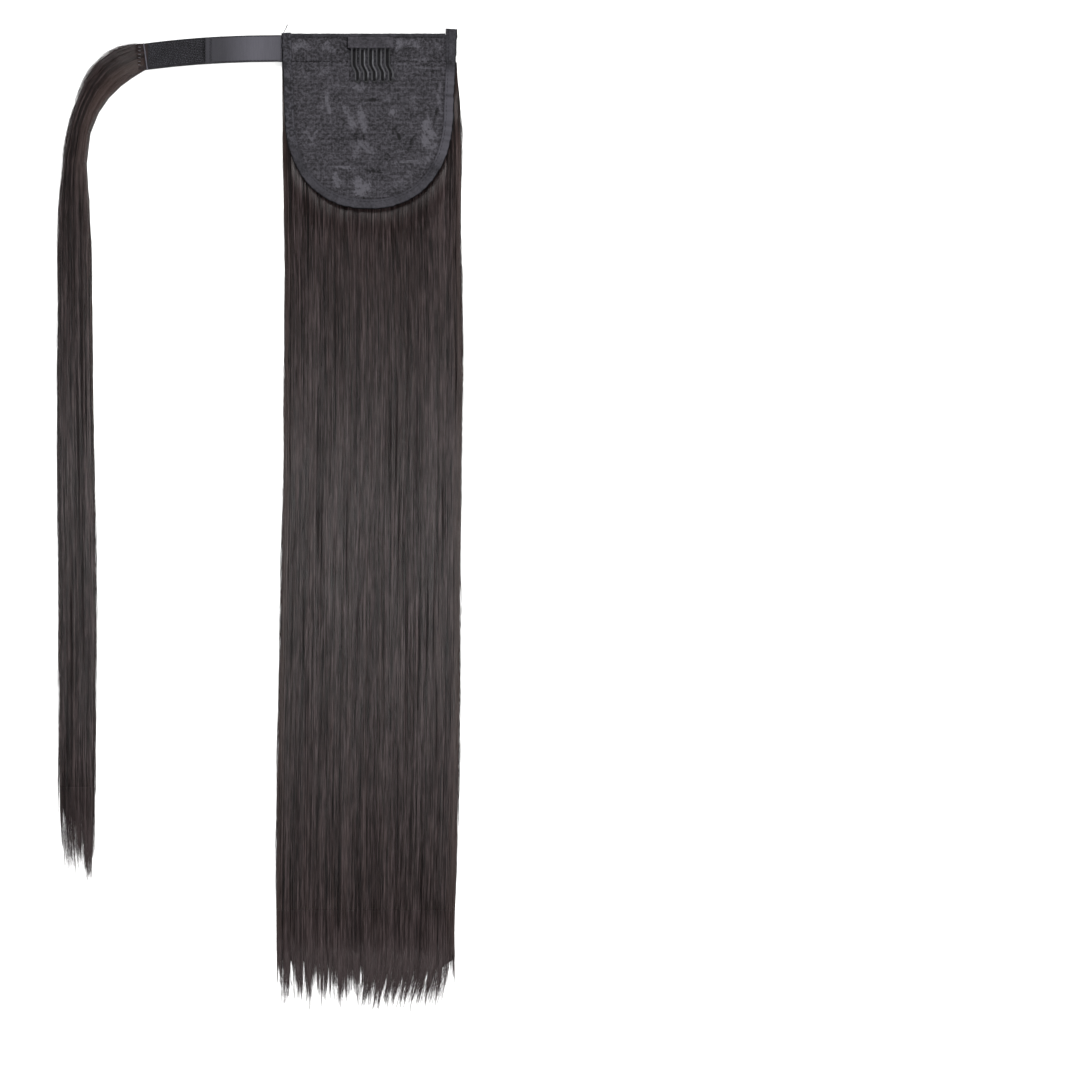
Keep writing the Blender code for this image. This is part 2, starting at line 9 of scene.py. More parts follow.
import bmesh
import bpy
import numpy as np
from bpy.props import FloatProperty, FloatVectorProperty, IntProperty, PointerProperty
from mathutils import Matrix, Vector


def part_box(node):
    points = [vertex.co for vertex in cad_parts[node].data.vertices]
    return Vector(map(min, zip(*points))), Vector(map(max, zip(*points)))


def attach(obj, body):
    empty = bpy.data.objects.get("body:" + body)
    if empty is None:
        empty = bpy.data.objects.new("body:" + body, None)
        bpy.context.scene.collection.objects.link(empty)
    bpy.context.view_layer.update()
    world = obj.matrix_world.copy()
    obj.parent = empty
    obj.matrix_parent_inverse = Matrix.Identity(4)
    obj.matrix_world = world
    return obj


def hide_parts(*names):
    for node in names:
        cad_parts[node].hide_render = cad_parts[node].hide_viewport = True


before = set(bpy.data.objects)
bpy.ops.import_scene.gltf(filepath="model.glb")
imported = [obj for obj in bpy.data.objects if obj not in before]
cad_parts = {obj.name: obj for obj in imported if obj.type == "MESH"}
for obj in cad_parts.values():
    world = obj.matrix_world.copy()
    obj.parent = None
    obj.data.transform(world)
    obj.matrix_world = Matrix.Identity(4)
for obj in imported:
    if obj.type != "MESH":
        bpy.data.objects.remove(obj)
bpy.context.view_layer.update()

bl_info = {
    "name": "Ponytail hairpiece",
    "version": (1, 0, 0),
    "blender": (4, 5, 0),
    "location": "3D View > Sidebar > Hairpiece",
    "description": "Builds the hair, lace cap, strap and comb of a wrap-around ponytail",
    "category": "Object",
}

# Sizes that repeat the CAD part's
CLEAR = 0.0003
TAPE_WIDTH = 0.0192
STRAP_LENGTH = 0.0994
STRAP_DROP = 0.0060
STRAP_DROP_POWER = 2.2
HOOK_LENGTH = 0.0410
RIBBON_THICK = 0.0007
SEAM_ON_TAPE = 0.0020
SEAM_ON_HAIR = 0.0050
TAPE_TOP = 0.0030
SEAM_LIFT = 0.0021
CAP_TOP_HALF = 0.0631
CAP_LOW_HALF = 0.0608
CAP_SIDE_DEPTH = 0.0540
CAP_ROUND_DEPTH = 0.0723
CAP_ROUND_POWER = 2.25
NET_THICK = 0.0010
BINDING_WIDTH = 0.0065
BINDING_THICK = 0.0009
BINDING_SKIRT = 0.0008
BINDING_TAIL_RIGHT = 0.0040
BINDING_TAIL_LEFT = 0.0012
BINDING_FLARE = 0.0013
BINDING_FLARE_LENGTH = 0.0240
COMB_SHIFT = 0.0011
COMB_TEETH = 5
COMB_PITCH = 0.0060
COMB_TOOTH_WIDTH = 0.0032
COMB_TOOTH_LENGTH = 0.0270
COMB_KINK = 0.0026
COMB_WIRE_DIAMETER = 0.0011
COMB_SPINE_DIAMETER = 0.0016
COMB_SPINE_LENGTH = 0.0300
COMB_SPINE_LINE = 0.0022
SLEEVE_LENGTH = 0.0327
SLEEVE_WIDTH = 0.0080
SLEEVE_TOP = 0.0022 + 0.72 * SLEEVE_WIDTH
HAIR_LENGTH = 0.6846
HAIR_SPREAD = 0.0048
HAIR_THICK = 0.0085
HAIR_CROWN_SHARE = 0.30
HAIR_EDGE_POWER = 6.0
STRAND_LENGTH = 0.6150
STRAND_WIDTH = 0.0262
STRAND_THICK = 0.0066
STRAND_EDGE_POWER = 3.0

BAND_EDGE = TAPE_WIDTH / 2
HAIR_START = -BAND_EDGE - CLEAR
HAIR_WIDTH = 2 * CAP_TOP_HALF + HAIR_SPREAD
CAP_SIDE_END = BAND_EDGE - CAP_SIDE_DEPTH
STRAP_END = -CAP_TOP_HALF - STRAP_LENGTH
HOOK_LEFT = STRAP_END + SEAM_ON_TAPE + CLEAR
HOOK_RIGHT = HOOK_LEFT + HOOK_LENGTH
ON_TAPE = TAPE_TOP + CLEAR

# The band frame's origin in the row frame, from the track that is centred on the band
TRACK_LOW, TRACK_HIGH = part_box("weft_track")
ROOT_X = (TRACK_LOW.x + TRACK_HIGH.x) / 2
ROOT_Y = TRACK_LOW.y + BAND_EDGE


class Table:
    """Rows with named columns, read between rows by straight lines along the first."""

    def __init__(self, names, *rows):
        self.names = names.split()
        self.columns = dict(zip(self.names, np.array(rows, float).T))

    def at(self, name, along):
        return np.interp(along, self.columns[self.names[0]], self.columns[name])


HAIR_SECTIONS = Table(
    "along shift width bulk",
    (0.000, 0.000, 0.967, 0.00),
    (0.020, 0.008, 0.980, 0.10),
    (0.045, 0.014, 0.994, 0.30),
    (0.075, 0.016, 0.998, 0.55),
    (0.110, 0.015, 0.985, 0.80),
    (0.156, 0.014, 0.966, 1.00),
    (0.220, 0.020, 0.972, 0.97),
    (0.300, 0.025, 0.985, 0.93),
    (0.400, 0.020, 0.976, 0.84),
    (0.520, 0.008, 0.984, 0.72),
    (0.640, 0.002, 0.994, 0.60),
    (0.760, -0.008, 1.000, 0.46),
    (0.860, -0.018, 0.994, 0.32),
    (0.915, -0.023, 0.985, 0.22),
    (0.945, -0.020, 0.988, 0.14),
    (1.000, -0.021, 0.984, 0.00),
)

STRAND_SECTIONS = Table(
    "along turn width bulk",
    (0.000, 0.0, 0.71, 0.00),
    (0.011, 17.0, 0.83, 0.00),
    (0.024, 29.0, 0.90, 0.45),
    (0.041, 38.0, 0.93, 0.80),
    (0.061, 53.0, 0.87, 0.95),
    (0.080, 62.0, 0.74, 1.00),
    (0.097, 66.0, 0.66, 1.00),
    (0.117, 74.5, 0.60, 1.00),
    (0.143, 82.0, 0.61, 0.97),
    (0.172, 88.0, 0.67, 0.92),
    (0.210, 91.0, 0.82, 0.86),
    (0.260, 90.4, 0.91, 0.80),
    (0.360, 90.0, 0.91, 0.76),
    (0.480, 90.5, 0.97, 0.72),
    (0.600, 91.0, 1.00, 0.68),
    (0.730, 90.0, 1.00, 0.58),
    (0.850, 89.4, 0.97, 0.44),
    (0.910, 90.4, 0.96, 0.32),
    (0.930, 91.0, 0.95, 0.26),
    (1.000, 92.0, 0.92, 0.05),
)

# Tufts at the tips, left to right. tip: share of the length. slit: how far back the slit
# on its right reaches, in shares of the length. lean: sideways shift of the tip in mm.
FALL_TUFTS = Table(
    "tuft size tip slit lean",
    (0, 0.85, 0.988, 0.032, 0.3),
    (1, 0.90, 0.992, 0.042, 0.6),
    (2, 1.35, 0.990, 0.056, 0.2),
    (3, 0.95, 0.998, 0.013, 1.4),
    (4, 0.70, 0.990, 0.016, -0.2),
    (5, 0.95, 0.993, 0.012, 0.0),
    (6, 0.70, 0.996, 0.018, -0.6),
    (7, 1.05, 0.998, 0.013, 0.2),
    (8, 0.80, 0.999, 0.021, -0.4),
    (9, 0.95, 0.992, 0.013, -0.2),
    (10, 0.75, 0.995, 0.022, -0.8),
    (11, 1.00, 0.993, 0.015, -1.2),
    (12, 0.80, 1.000, 0.017, -3.4),
    (13, 0.95, 0.998, 0.012, -5.0),
    (14, 0.75, 1.002, 0.015, -6.6),
    (15, 1.05, 0.996, 0.013, -6.4),
    (16, 0.80, 1.000, 0.015, -7.2),
    (17, 0.95, 0.998, 0.034, -5.4),
    (18, 0.80, 1.000, 0.015, -7.8),
    (19, 1.00, 1.002, 0.015, -8.2),
    (20, 0.85, 0.998, 0.016, -6.4),
    (21, 0.95, 0.992, 0.017, -4.6),
    (22, 0.75, 0.986, 0.029, -1.0),
    (23, 0.60, 0.978, 0.034, 1.4),
)

STRAND_TUFTS = Table(
    "tuft size tip slit lean",
    (0, 0.65, 0.972, 0.018, 0.1),
    (1, 0.80, 0.980, 0.022, 0.4),
    (2, 0.60, 0.980, 0.026, -0.2),
    (3, 0.85, 0.990, 0.022, 0.2),
    (4, 1.10, 1.012, 0.022, -0.4),
    (5, 0.45, 0.986, 0.028, 0.2),
)

# A parting of this depth gets full painted shade, black, at its bottom
FULL_PARTING = 0.0024

# Partings that divide the strand: where across, from and to along, half width, depth
STRAND_PARTINGS = (
    (-0.34, 0.014, 0.340, 0.050, 0.0040),
    (0.44, 0.090, 0.600, 0.055, 0.0012),
    (-0.66, 0.030, 0.300, 0.035, 0.0016),
    (0.02, 0.060, 0.420, 0.040, 0.0014),
    (0.22, 0.420, 0.900, 0.050, 0.0009),
    (-0.30, 0.520, 0.960, 0.050, 0.0010),
    (0.60, 0.560, 0.940, 0.040, 0.0008),
)

# Petals, leaves and threads of the lace, in mm in the band frame: middle, half length,
# half width, turn in degrees, and how solid each is. Below zero it is an open hole.
LACE_MOTIFS = (
    (-52.5, 1.5, 4.5, 2.6, 30, 0.7), (-47.0, 2.5, 4.5, 2.4, -35, 0.7),
    (-31.5, 1.5, 4.0, 2.2, 60, 0.7), (-27.5, -0.5, 3.6, 2.0, -20, 0.6),
    (22.0, 3.0, 4.2, 2.8, 70, 0.9), (28.5, 4.0, 5.5, 2.2, 5, 0.6),
    (34.0, 2.0, 4.0, 2.0, -15, 0.6), (49.5, 1.0, 4.0, 2.4, -40, 0.5),
    (-30.5, -37.0, 5.5, 1.4, 85, 0.8), (-28.8, -44.0, 4.5, 1.3, 100, 0.8),
    (-33.5, -42.5, 3.5, 1.2, 70, 0.5), (-16.0, -46.5, 5.5, 2.2, -65, 0.7),
    (-12.5, -54.0, 5.0, 2.2, -75, 0.8), (-5.5, -49.5, 6.5, 2.6, -80, 0.8),
    (-3.8, -57.5, 5.0, 2.6, -100, 0.8), (-8.8, -53.5, 3.5, 1.6, 40, 0.5),
    (16.9, -46.5, 2.4, 2.1, 0, 1.0), (41.5, -56.5, 5.5, 2.8, 75, 0.9),
    (45.0, -62.5, 4.5, 3.0, -60, 0.9), (41.0, -68.0, 5.5, 3.2, 100, 0.9),
    (46.5, -72.0, 3.6, 2.0, 50, 0.6), (-6.0, -70.5, 5.5, 3.2, 20, 0.7),
    (0.5, -74.0, 4.5, 2.6, -30, 0.7), (-9.0, -76.5, 3.5, 2.2, 80, 0.6),
    (-24.0, -94.0, 4.0, 2.0, 80, 0.9), (-21.8, -98.8, 3.2, 1.9, 60, 0.8),
    (-7.5, -98.5, 4.5, 3.0, 100, 1.0), (-3.0, -101.5, 4.5, 3.2, 30, 1.0),
    (-7.0, -105.0, 4.0, 2.6, -20, 0.9), (-46.0, -61.0, 5.5, 0.9, 60, 0.5),
    (-42.5, -65.5, 6.0, 0.9, -55, 0.5), (-38.5, -61.5, 5.5, 0.9, 60, 0.5),
    (-42.8, -70.5, 5.0, 0.9, 0, 0.5), (37.0, -82.0, 4.5, 1.8, 25, 0.5),
    (43.0, -80.5, 4.0, 1.8, 60, 0.5), (31.6, -37.5, 3.5, 1.6, 70, 0.45),
    (33.0, -42.0, 3.0, 1.6, 110, 0.45), (-7.6, -28.5, 4.5, 3.2, 0, 0.6),
    (51.0, -27.0, 4.0, 1.4, 85, 0.5), (50.5, -38.0, 5.0, 1.4, 95, 0.5),
    (13.9, -35.7, 3.6, 3.0, 20, 0.4), (-33.0, -18.0, 4.5, 3.0, 30, 0.4),
    (-46.0, -20.0, 3.5, 2.4, -30, 0.35), (21.8, -98.3, 5.5, 2.6, 15, 0.45),
    (28.5, -92.0, 4.0, 2.0, 50, 0.4), (37.4, -8.3, 7.5, 1.2, 0, 0.5),
    (22.0, -12.0, 6.0, 1.1, 0, 0.45), (-17.4, -87.0, 8.0, 0.7, -3, 1.0),
    (30.0, -82.5, 14.0, 0.7, 8, 0.8), (-22.0, -27.5, 9.0, 0.7, 1, 0.6),
    (40.0, -14.5, 8.0, 0.7, -2, 0.5), (4.0, -89.8, 5.5, 1.0, -3, -1.0),
    (18.5, -60.0, 3.5, 1.0, 60, -0.9), (21.5, -64.0, 3.5, 1.0, -60, -0.9),
    (-9.0, -63.0, 3.8, 1.0, 70, -0.9), (-4.5, -63.0, 3.8, 1.0, -70, -0.9),
    (3.3, -37.5, 3.0, 1.6, 0, -0.8), (49.5, -27.0, 2.5, 0.9, 80, -0.8),
    (48.5, -47.5, 4.5, 1.0, 75, -0.9), (45.5, -20.0, 5.0, 0.8, 85, -0.7),
    (30.0, -70.0, 6.0, 1.4, 70, -0.5), (-54.0, -46.0, 5.0, 1.6, 70, -0.6),
    (-20.0, -66.0, 5.0, 1.6, 10, -0.5), (12.0, -80.0, 4.0, 2.4, 30, -0.4),
)


# Settings that a user would change

def colour_setting(name, description, default):
    return FloatVectorProperty(name=name, description=description, default=default,
                               size=3, min=0.0, max=1.0, subtype="COLOR")


def length_setting(name, description, default, high):
    return FloatProperty(name=name, description=description, default=default,
                         min=0.0, max=high, precision=5, subtype="DISTANCE", unit="LENGTH")


class HAIRPIECE_PG_hair(bpy.types.PropertyGroup):
    """Colours and sizes of the hair."""

    # deep is the darkest hair colour, and also the painted shade in the gaps and at the bottom
    # of partings
    deep: colour_setting("Deep", "Hair colour in the gaps", (0.0028, 0.0020, 0.0019))
    middle: colour_setting("Middle", "Hair colour of most fibres", (0.0120, 0.0078, 0.0078))
    pale: colour_setting("Pale", "Hair colour of the lightest fibres", (0.054, 0.040, 0.041))
    brown: colour_setting("Brown", "Warmer colour at the edges", (0.036, 0.0235, 0.0205))
    tips: colour_setting("Tips", "Hair colour at the thin ends", (0.066, 0.052, 0.053))
    roughness: FloatProperty(name="Roughness", description="Roughness of a fibre",
                             default=0.22, min=0.0, max=1.0, subtype="FACTOR")
    fall_strands: IntProperty(name="Fall strands", description="Strands in the fall",
                              default=8700, min=300, max=9300)
    wrap_strands: IntProperty(name="Wrap strands", description="Strands in the wrap strand",
                              default=1900, min=100, max=2000)
    strand_radius: length_setting("Strand radius", "Radius of a middling strand",
                                  0.00021, 0.002)
    layers: length_setting("Layers", "Depth over which the strands lie", 0.0013, 0.01)


class HAIRPIECE_PG_cap(bpy.types.PropertyGroup):
    """Colours of the lace cap and its binding."""

    lace: colour_setting("Lace", "Colour of the lace threads", (0.043, 0.0405, 0.0475))
    ground: colour_setting("Ground", "Colour seen through the lace", (0.0030, 0.0028, 0.0034))
    motif: colour_setting("Motif", "Colour of the lace's solid motifs", (0.056, 0.054, 0.063))
    binding: colour_setting("Binding", "Colour of the binding", (0.0225, 0.0215, 0.0255))
    thread: colour_setting("Thread", "Colour of the dark sewing thread",
                           (0.0050, 0.0050, 0.0060))
    lace_relief: length_setting("Lace relief", "Height of the lace's relief", 0.00042, 0.002)


class HAIRPIECE_PG_strap(bpy.types.PropertyGroup):
    """Colours of the band and strap."""

    satin: colour_setting("Satin", "Colour of the ribbon", (0.0415, 0.0403, 0.0478))
    hooks: colour_setting("Hooks", "Colour of the hook patch", (0.0105, 0.0103, 0.0122))
    pile: colour_setting("Pile", "Colour of the loop tape", (0.010, 0.010, 0.011))
    pale_thread: colour_setting("Pale thread", "Colour of the light sewing thread",
                                (0.105, 0.103, 0.110))
    hook_pitch: length_setting("Hook pitch", "Distance between hooks", 0.00125, 0.01)


class HAIRPIECE_PG_comb(bpy.types.PropertyGroup):
    """Finish of the wire comb."""

    wire: colour_setting("Wire", "Colour of the lacquered wire", (0.012, 0.012, 0.013))
    roughness: FloatProperty(name="Roughness", description="Roughness of the lacquer",
                             default=0.40, min=0.0, max=1.0, subtype="FACTOR")


class HAIRPIECE_PG_stage(bpy.types.PropertyGroup):
    """Floor, lights and camera."""

    floor: colour_setting("Floor", "Colour of the floor", (0.90, 0.90, 0.90))
    key_power: FloatProperty(name="Key power", description="Power of the overhead light",
                             default=33.0, min=0.0, unit="POWER")
    side_power: FloatProperty(name="Side power", description="Power of the larger softbox",
                              default=72.0, min=0.0, unit="POWER")
    fill: FloatProperty(name="Fill", description="Strength of the light from all round",
                        default=0.20, min=0.0)
    middle: FloatVectorProperty(name="Middle", description="Floor point in the view's middle",
                                default=(0.2028, -0.0160, 0.0), size=3,
                                subtype="TRANSLATION", unit="LENGTH")
    view_width: length_setting("View width", "Width of floor that the camera sees",
                               0.7837, 10.0)
    lens: FloatProperty(name="Lens", description="Focal length in millimetres",
                        default=100.0, min=10.0, max=400.0)


# Shader trees

class Graph:
    """Adds nodes to a shader tree and joins them, one call for each step."""

    def __init__(self, tree):
        self.tree = tree

    def feed(self, socket, value):
        if isinstance(value, bpy.types.NodeSocket):
            self.tree.links.new(value, socket)
        elif socket.type == "RGBA":
            socket.default_value = (*value[:3], 1.0)
        else:
            socket.default_value = value

    def add(self, kind, inputs=(), **settings):
        node = self.tree.nodes.new("ShaderNode" + kind)
        for name, value in settings.items():
            setattr(node, name, value)
        for name, value in dict(inputs).items():
            self.feed(node.inputs[name], value)
        return node

    def math(self, operation, first, second=0.0, clamp=False):
        return self.add("Math", {0: first, 1: second}, operation=operation,
                        use_clamp=clamp).outputs[0]

    def weighted(self, *terms):
        """The sum of values, each times its weight."""
        parts = [self.math("MULTIPLY", value, weight) for value, weight in terms]
        total = parts[0]
        for part in parts[1:]:
            total = self.math("ADD", total, part)
        return total

    def mix(self, share, first, second, blend="MIX"):
        node = self.add("Mix", data_type="RGBA", blend_type=blend)
        for index, value in ((0, share), (6, first), (7, second)):
            self.feed(node.inputs[index], value)
        return node.outputs[2]

    def between(self, value, low, high, to_low=0.0, to_high=1.0):
        return self.add("MapRange", {"Value": value, "From Min": low, "From Max": high,
                                     "To Min": to_low, "To Max": to_high}).outputs[0]

    def noise(self, vector, scale, detail=2.0, roughness=0.5):
        return self.add("TexNoise", {"Vector": vector, "Scale": scale, "Detail": detail,
                                     "Roughness": roughness}).outputs[0]

    def stretched(self, vector, sizes):
        return self.add("VectorMath", {0: vector, 1: sizes}, operation="MULTIPLY").outputs[0]

    def scaled(self, vector, factor):
        return self.add("VectorMath", {0: vector, 3: factor}, operation="SCALE").outputs[0]

    def stored(self, name, output="Fac"):
        """What a piece keeps at its points under this name."""
        return self.add("Attribute", attribute_name=name).outputs[output]

    def parts(self, vector):
        return self.add("SeparateXYZ", {"Vector": vector}).outputs

    def place(self):
        return self.add("TexCoord").outputs["Object"]

    def bump(self, height, distance, strength=1.0):
        return self.add("Bump", {"Height": height, "Distance": distance,
                                 "Strength": strength}).outputs[0]

    def group(self, tree, inputs):
        node = self.add("Group", node_tree=tree)
        for name, value in inputs.items():
            self.feed(node.inputs[name], value)
        return node.outputs


def shader_group(name, inputs, outputs, fill):
    """A node group built once. inputs: {name: (socket kind, default)}."""
    tree = bpy.data.node_groups.get(name)
    if tree is None:
        tree = bpy.data.node_groups.new(name, "ShaderNodeTree")
        for label, (kind, default) in inputs.items():
            socket = tree.interface.new_socket(name=label, in_out="INPUT", socket_type=kind)
            if default is not None:
                socket.default_value = default
        for label in outputs:
            tree.interface.new_socket(name=label, in_out="OUTPUT",
                                      socket_type="NodeSocketFloat")
        graph = Graph(tree)
        source = tree.nodes.new("NodeGroupInput").outputs
        sink = tree.nodes.new("NodeGroupOutput").inputs
        for label, value in fill(graph, source).items():
            graph.feed(sink[label], value)
    return tree


def fibre_streaks():
    """Fine streaks along the vector's second axis, with a few dark lines between them that mask
    painted shade.
    """
    def fill(graph, source):
        fine = graph.scaled(source["Vector"], source["Fineness"])
        narrow = graph.noise(graph.stretched(fine, (1.0, 0.055, 0.25)), 1.0, 3.0, 0.62)
        broad = graph.noise(graph.stretched(fine, (0.22, 0.014, 0.2)), 1.0, 1.0)
        sparse = graph.noise(graph.stretched(fine, (0.7, 0.020, 0.3)), 1.0, 2.0)
        streak = graph.between(graph.weighted((narrow, 0.72), (broad, 0.28)), 0.38, 0.62)
        gap = graph.between(sparse, 0.30, 0.42)
        return {"Streak": streak, "Gap": gap, "Height": graph.math("MULTIPLY", streak, gap)}

    return shader_group("fibre_streaks", {
        "Vector": ("NodeSocketVector", None),
        "Fineness": ("NodeSocketFloat", 1500.0),
    }, ("Streak", "Gap", "Height"), fill)


def plain_weave():
    """Threads over and under each other along the vector's first two axes."""
    def fill(graph, source):
        def arch(axis):
            wave = graph.math("SINE", graph.math("MULTIPLY", axis, math.pi))
            return graph.math("ABSOLUTE", wave)

        vector = graph.scaled(source["Vector"], source["Threads"])
        wander = graph.noise(graph.stretched(vector, (0.05, 0.05, 0.05)), 1.0, 2.0)
        x, y, _ = graph.parts(vector)
        x = graph.math("ADD", x, graph.math("MULTIPLY", wander, source["Slub"]))
        warp, weft = arch(x), arch(y)
        over = graph.math("PINGPONG", graph.math("ADD", graph.math("FLOOR", x),
                                                 graph.math("FLOOR", y)), 1.0)
        under = graph.math("SUBTRACT", 1.0, over)
        high = graph.math("MAXIMUM", graph.math("MULTIPLY", warp, over),
                          graph.math("MULTIPLY", weft, under))
        low = graph.math("MULTIPLY", graph.math("MINIMUM", warp, weft), 0.5)
        dye = graph.noise(graph.stretched(vector, (0.6, 0.6, 0.6)), 1.0, 2.0)
        return {"Height": graph.math("MAXIMUM", high, low),
                "Shade": graph.between(dye, 0.3, 0.7)}

    return shader_group("plain_weave", {
        "Vector": ("NodeSocketVector", None),
        "Threads": ("NodeSocketFloat", 2600.0),
        "Slub": ("NodeSocketFloat", 0.6),
    }, ("Height", "Shade"), fill)


def lint():
    """Fine loose fibres and specks on cloth: a height and two masks."""
    def fill(graph, source):
        vector = graph.scaled(source["Vector"], source["Size"])
        fuzz = graph.noise(vector, 1.0, 4.0, 0.7)
        patches = graph.noise(vector, 0.12, 2.0)
        specks = graph.between(graph.noise(vector, 0.45, 1.0), 0.60, 0.74)
        mask = graph.between(graph.weighted((fuzz, 0.6), (patches, 0.4)), 0.35, 0.65)
        return {"Height": fuzz, "Mask": mask, "Specks": specks}

    return shader_group("lint", {
        "Vector": ("NodeSocketVector", None),
        "Size": ("NodeSocketFloat", 1800.0),
    }, ("Height", "Mask", "Specks"), fill)


def toned(colour, factor):
    """A colour made lighter or darker, with no channel above one."""
    return [min(1.0, channel * factor) for channel in colour]


def new_finish(name, **fixed):
    """A material with its shader's unchanging values set, and a graph to add to it."""
    material = bpy.data.materials.new(name)
    material.use_nodes = True
    graph = Graph(material.node_tree)
    shader = material.node_tree.nodes["Principled BSDF"]
    for label, value in fixed.items():
        graph.feed(shader.inputs[label.replace("_", " ")], value)
    return material, graph, shader.inputs


def hair_strand_finish(look):
    """Loose strands. Their points keep tone, brownness, place along and openness, which is
    none at the bottom of a parting, where the deep colour is painted shade."""
    material, graph, shader = new_finish("hair_strand", Specular_IOR_Level=0.17)
    own = graph.add("Attribute", attribute_name="strand").outputs
    tone, brown, along = graph.add("SeparateColor", {"Color": own["Color"]}).outputs
    streaks = graph.group(fibre_streaks(), {"Vector": graph.stored("flow", "Vector"),
                                            "Fineness": 900.0})
    both = graph.weighted((tone, 0.52), (streaks["Streak"], 0.48))
    dark = graph.mix(graph.between(both, 0.10, 0.48), look.deep, look.middle)
    plain = graph.mix(graph.between(both, 0.46, 0.90), dark, look.pale)
    colour = graph.mix(graph.math("MULTIPLY", brown, 0.75), plain, look.brown)
    # Painted shade: where the streaks leave a gap, the strand is painted towards the deep
    # colour
    painted_shade = graph.between(streaks["Gap"], 0.0, 1.0, 0.85, 0.0)
    ends = graph.math("MULTIPLY", graph.between(along, 0.90, 0.97, 0.0, 0.72), tone)
    colour = graph.mix(ends, graph.mix(painted_shade, colour, look.deep), look.tips)
    # Painted shade: at the bottom of a parting the strand takes the deep colour
    graph.feed(shader["Base Color"], graph.mix(own["Alpha"], look.deep, colour))
    graph.feed(shader["Roughness"],
               graph.between(along, 0.0, 1.0, look.roughness, look.roughness + 0.06))
    return material


def hair_body_finish(look):
    """The mass of hair below the loose strands, streaked along its flow."""
    material, graph, shader = new_finish("hair_mass", Specular_IOR_Level=0.1)
    streaks = graph.group(fibre_streaks(), {"Vector": graph.stored("flow", "Vector"),
                                            "Fineness": 1500.0})
    colour = graph.mix(streaks["Streak"], look.deep, look.middle)
    # Painted shade: the mass is painted deep in the gaps between streaks
    graph.feed(shader["Base Color"], graph.mix(streaks["Gap"], look.deep, colour))
    graph.feed(shader["Roughness"], graph.between(streaks["Streak"], 0.0, 1.0, 0.62, 0.46))
    graph.feed(shader["Normal"], graph.bump(streaks["Height"], 0.0005, 0.8))
    return material


def lace_finish(look):
    """Machine lace: net cells, sewn rows and solid petals, open to dark cloth below.

    Its points keep "weft", "motif", "painted_comb_stripes" and "painted_comb_shadow", as
    build_lace finds them;
    the last two place the comb's painted shadow.
    """
    material, graph, shader = new_finish("lace", Specular_IOR_Level=0.15)
    place = graph.place()
    drawn = graph.noise(place, 160.0, 2.0)
    wobble = graph.add("CombineXYZ", {"X": graph.math("MULTIPLY", drawn, 0.0012),
                                      "Y": graph.math("MULTIPLY", drawn, 0.0020)}).outputs[0]
    shifted = graph.add("VectorMath", {0: place, 1: wobble}, operation="ADD").outputs[0]
    flat = graph.stretched(shifted, (1.0, 1.0, 0.0))
    cells = graph.add("TexVoronoi", {"Vector": flat, "Scale": 540.0, "Randomness": 0.75},
                      feature="DISTANCE_TO_EDGE", voronoi_dimensions="2D").outputs["Distance"]
    thread = graph.between(cells, 0.06, 0.20, 1.0, 0.0)
    mottle = graph.between(graph.noise(flat, 430.0, 3.0, 0.62), 0.43, 0.58)
    patch = graph.between(graph.noise(flat, 90.0, 2.0), 0.35, 0.65)
    yarn = graph.noise(graph.stretched(flat, (420.0, 1500.0, 1.0)), 1.0, 3.0)
    yarn = graph.between(yarn, 0.38, 0.62)
    satin = graph.noise(graph.stretched(flat, (1500.0, 620.0, 1.0)), 1.0, 2.0)
    satin = graph.between(satin, 0.34, 0.66)
    woven = graph.math("MULTIPLY", graph.stored("weft"), yarn)
    motif = graph.stored("motif")
    cover = graph.weighted((thread, 0.22), (mottle, 0.50), (patch, 0.16), (woven, 0.42),
                           (motif, 0.60))
    # Painted shadow of the comb: dark stripes inside its teeth and, through the motif, a darker
    # patch under it
    tooth = graph.math("PINGPONG", graph.stored("painted_comb_stripes"), 0.5)
    gap = graph.math("MULTIPLY", graph.between(tooth, 0.08, 0.19, 1.0, 0.0),
                     graph.stored("painted_comb_shadow"))
    cover = graph.math("SUBTRACT", cover, graph.math("MULTIPLY", gap, 0.9), clamp=True)
    solid = graph.between(motif, 0.15, 0.85)
    shine = graph.math("MULTIPLY", solid, graph.between(satin, 0.0, 1.0, 0.30, 1.0))
    lit = graph.mix(shine, look.lace, look.motif)
    graph.feed(shader["Base Color"], graph.mix(cover, look.ground, lit))
    graph.feed(shader["Roughness"], graph.between(solid, 0.0, 1.0, 0.80, 0.64))
    relief = graph.weighted((cover, 1.0), (satin, 0.30))
    graph.feed(shader["Normal"], graph.bump(relief, 0.00045, 0.9))
    return material


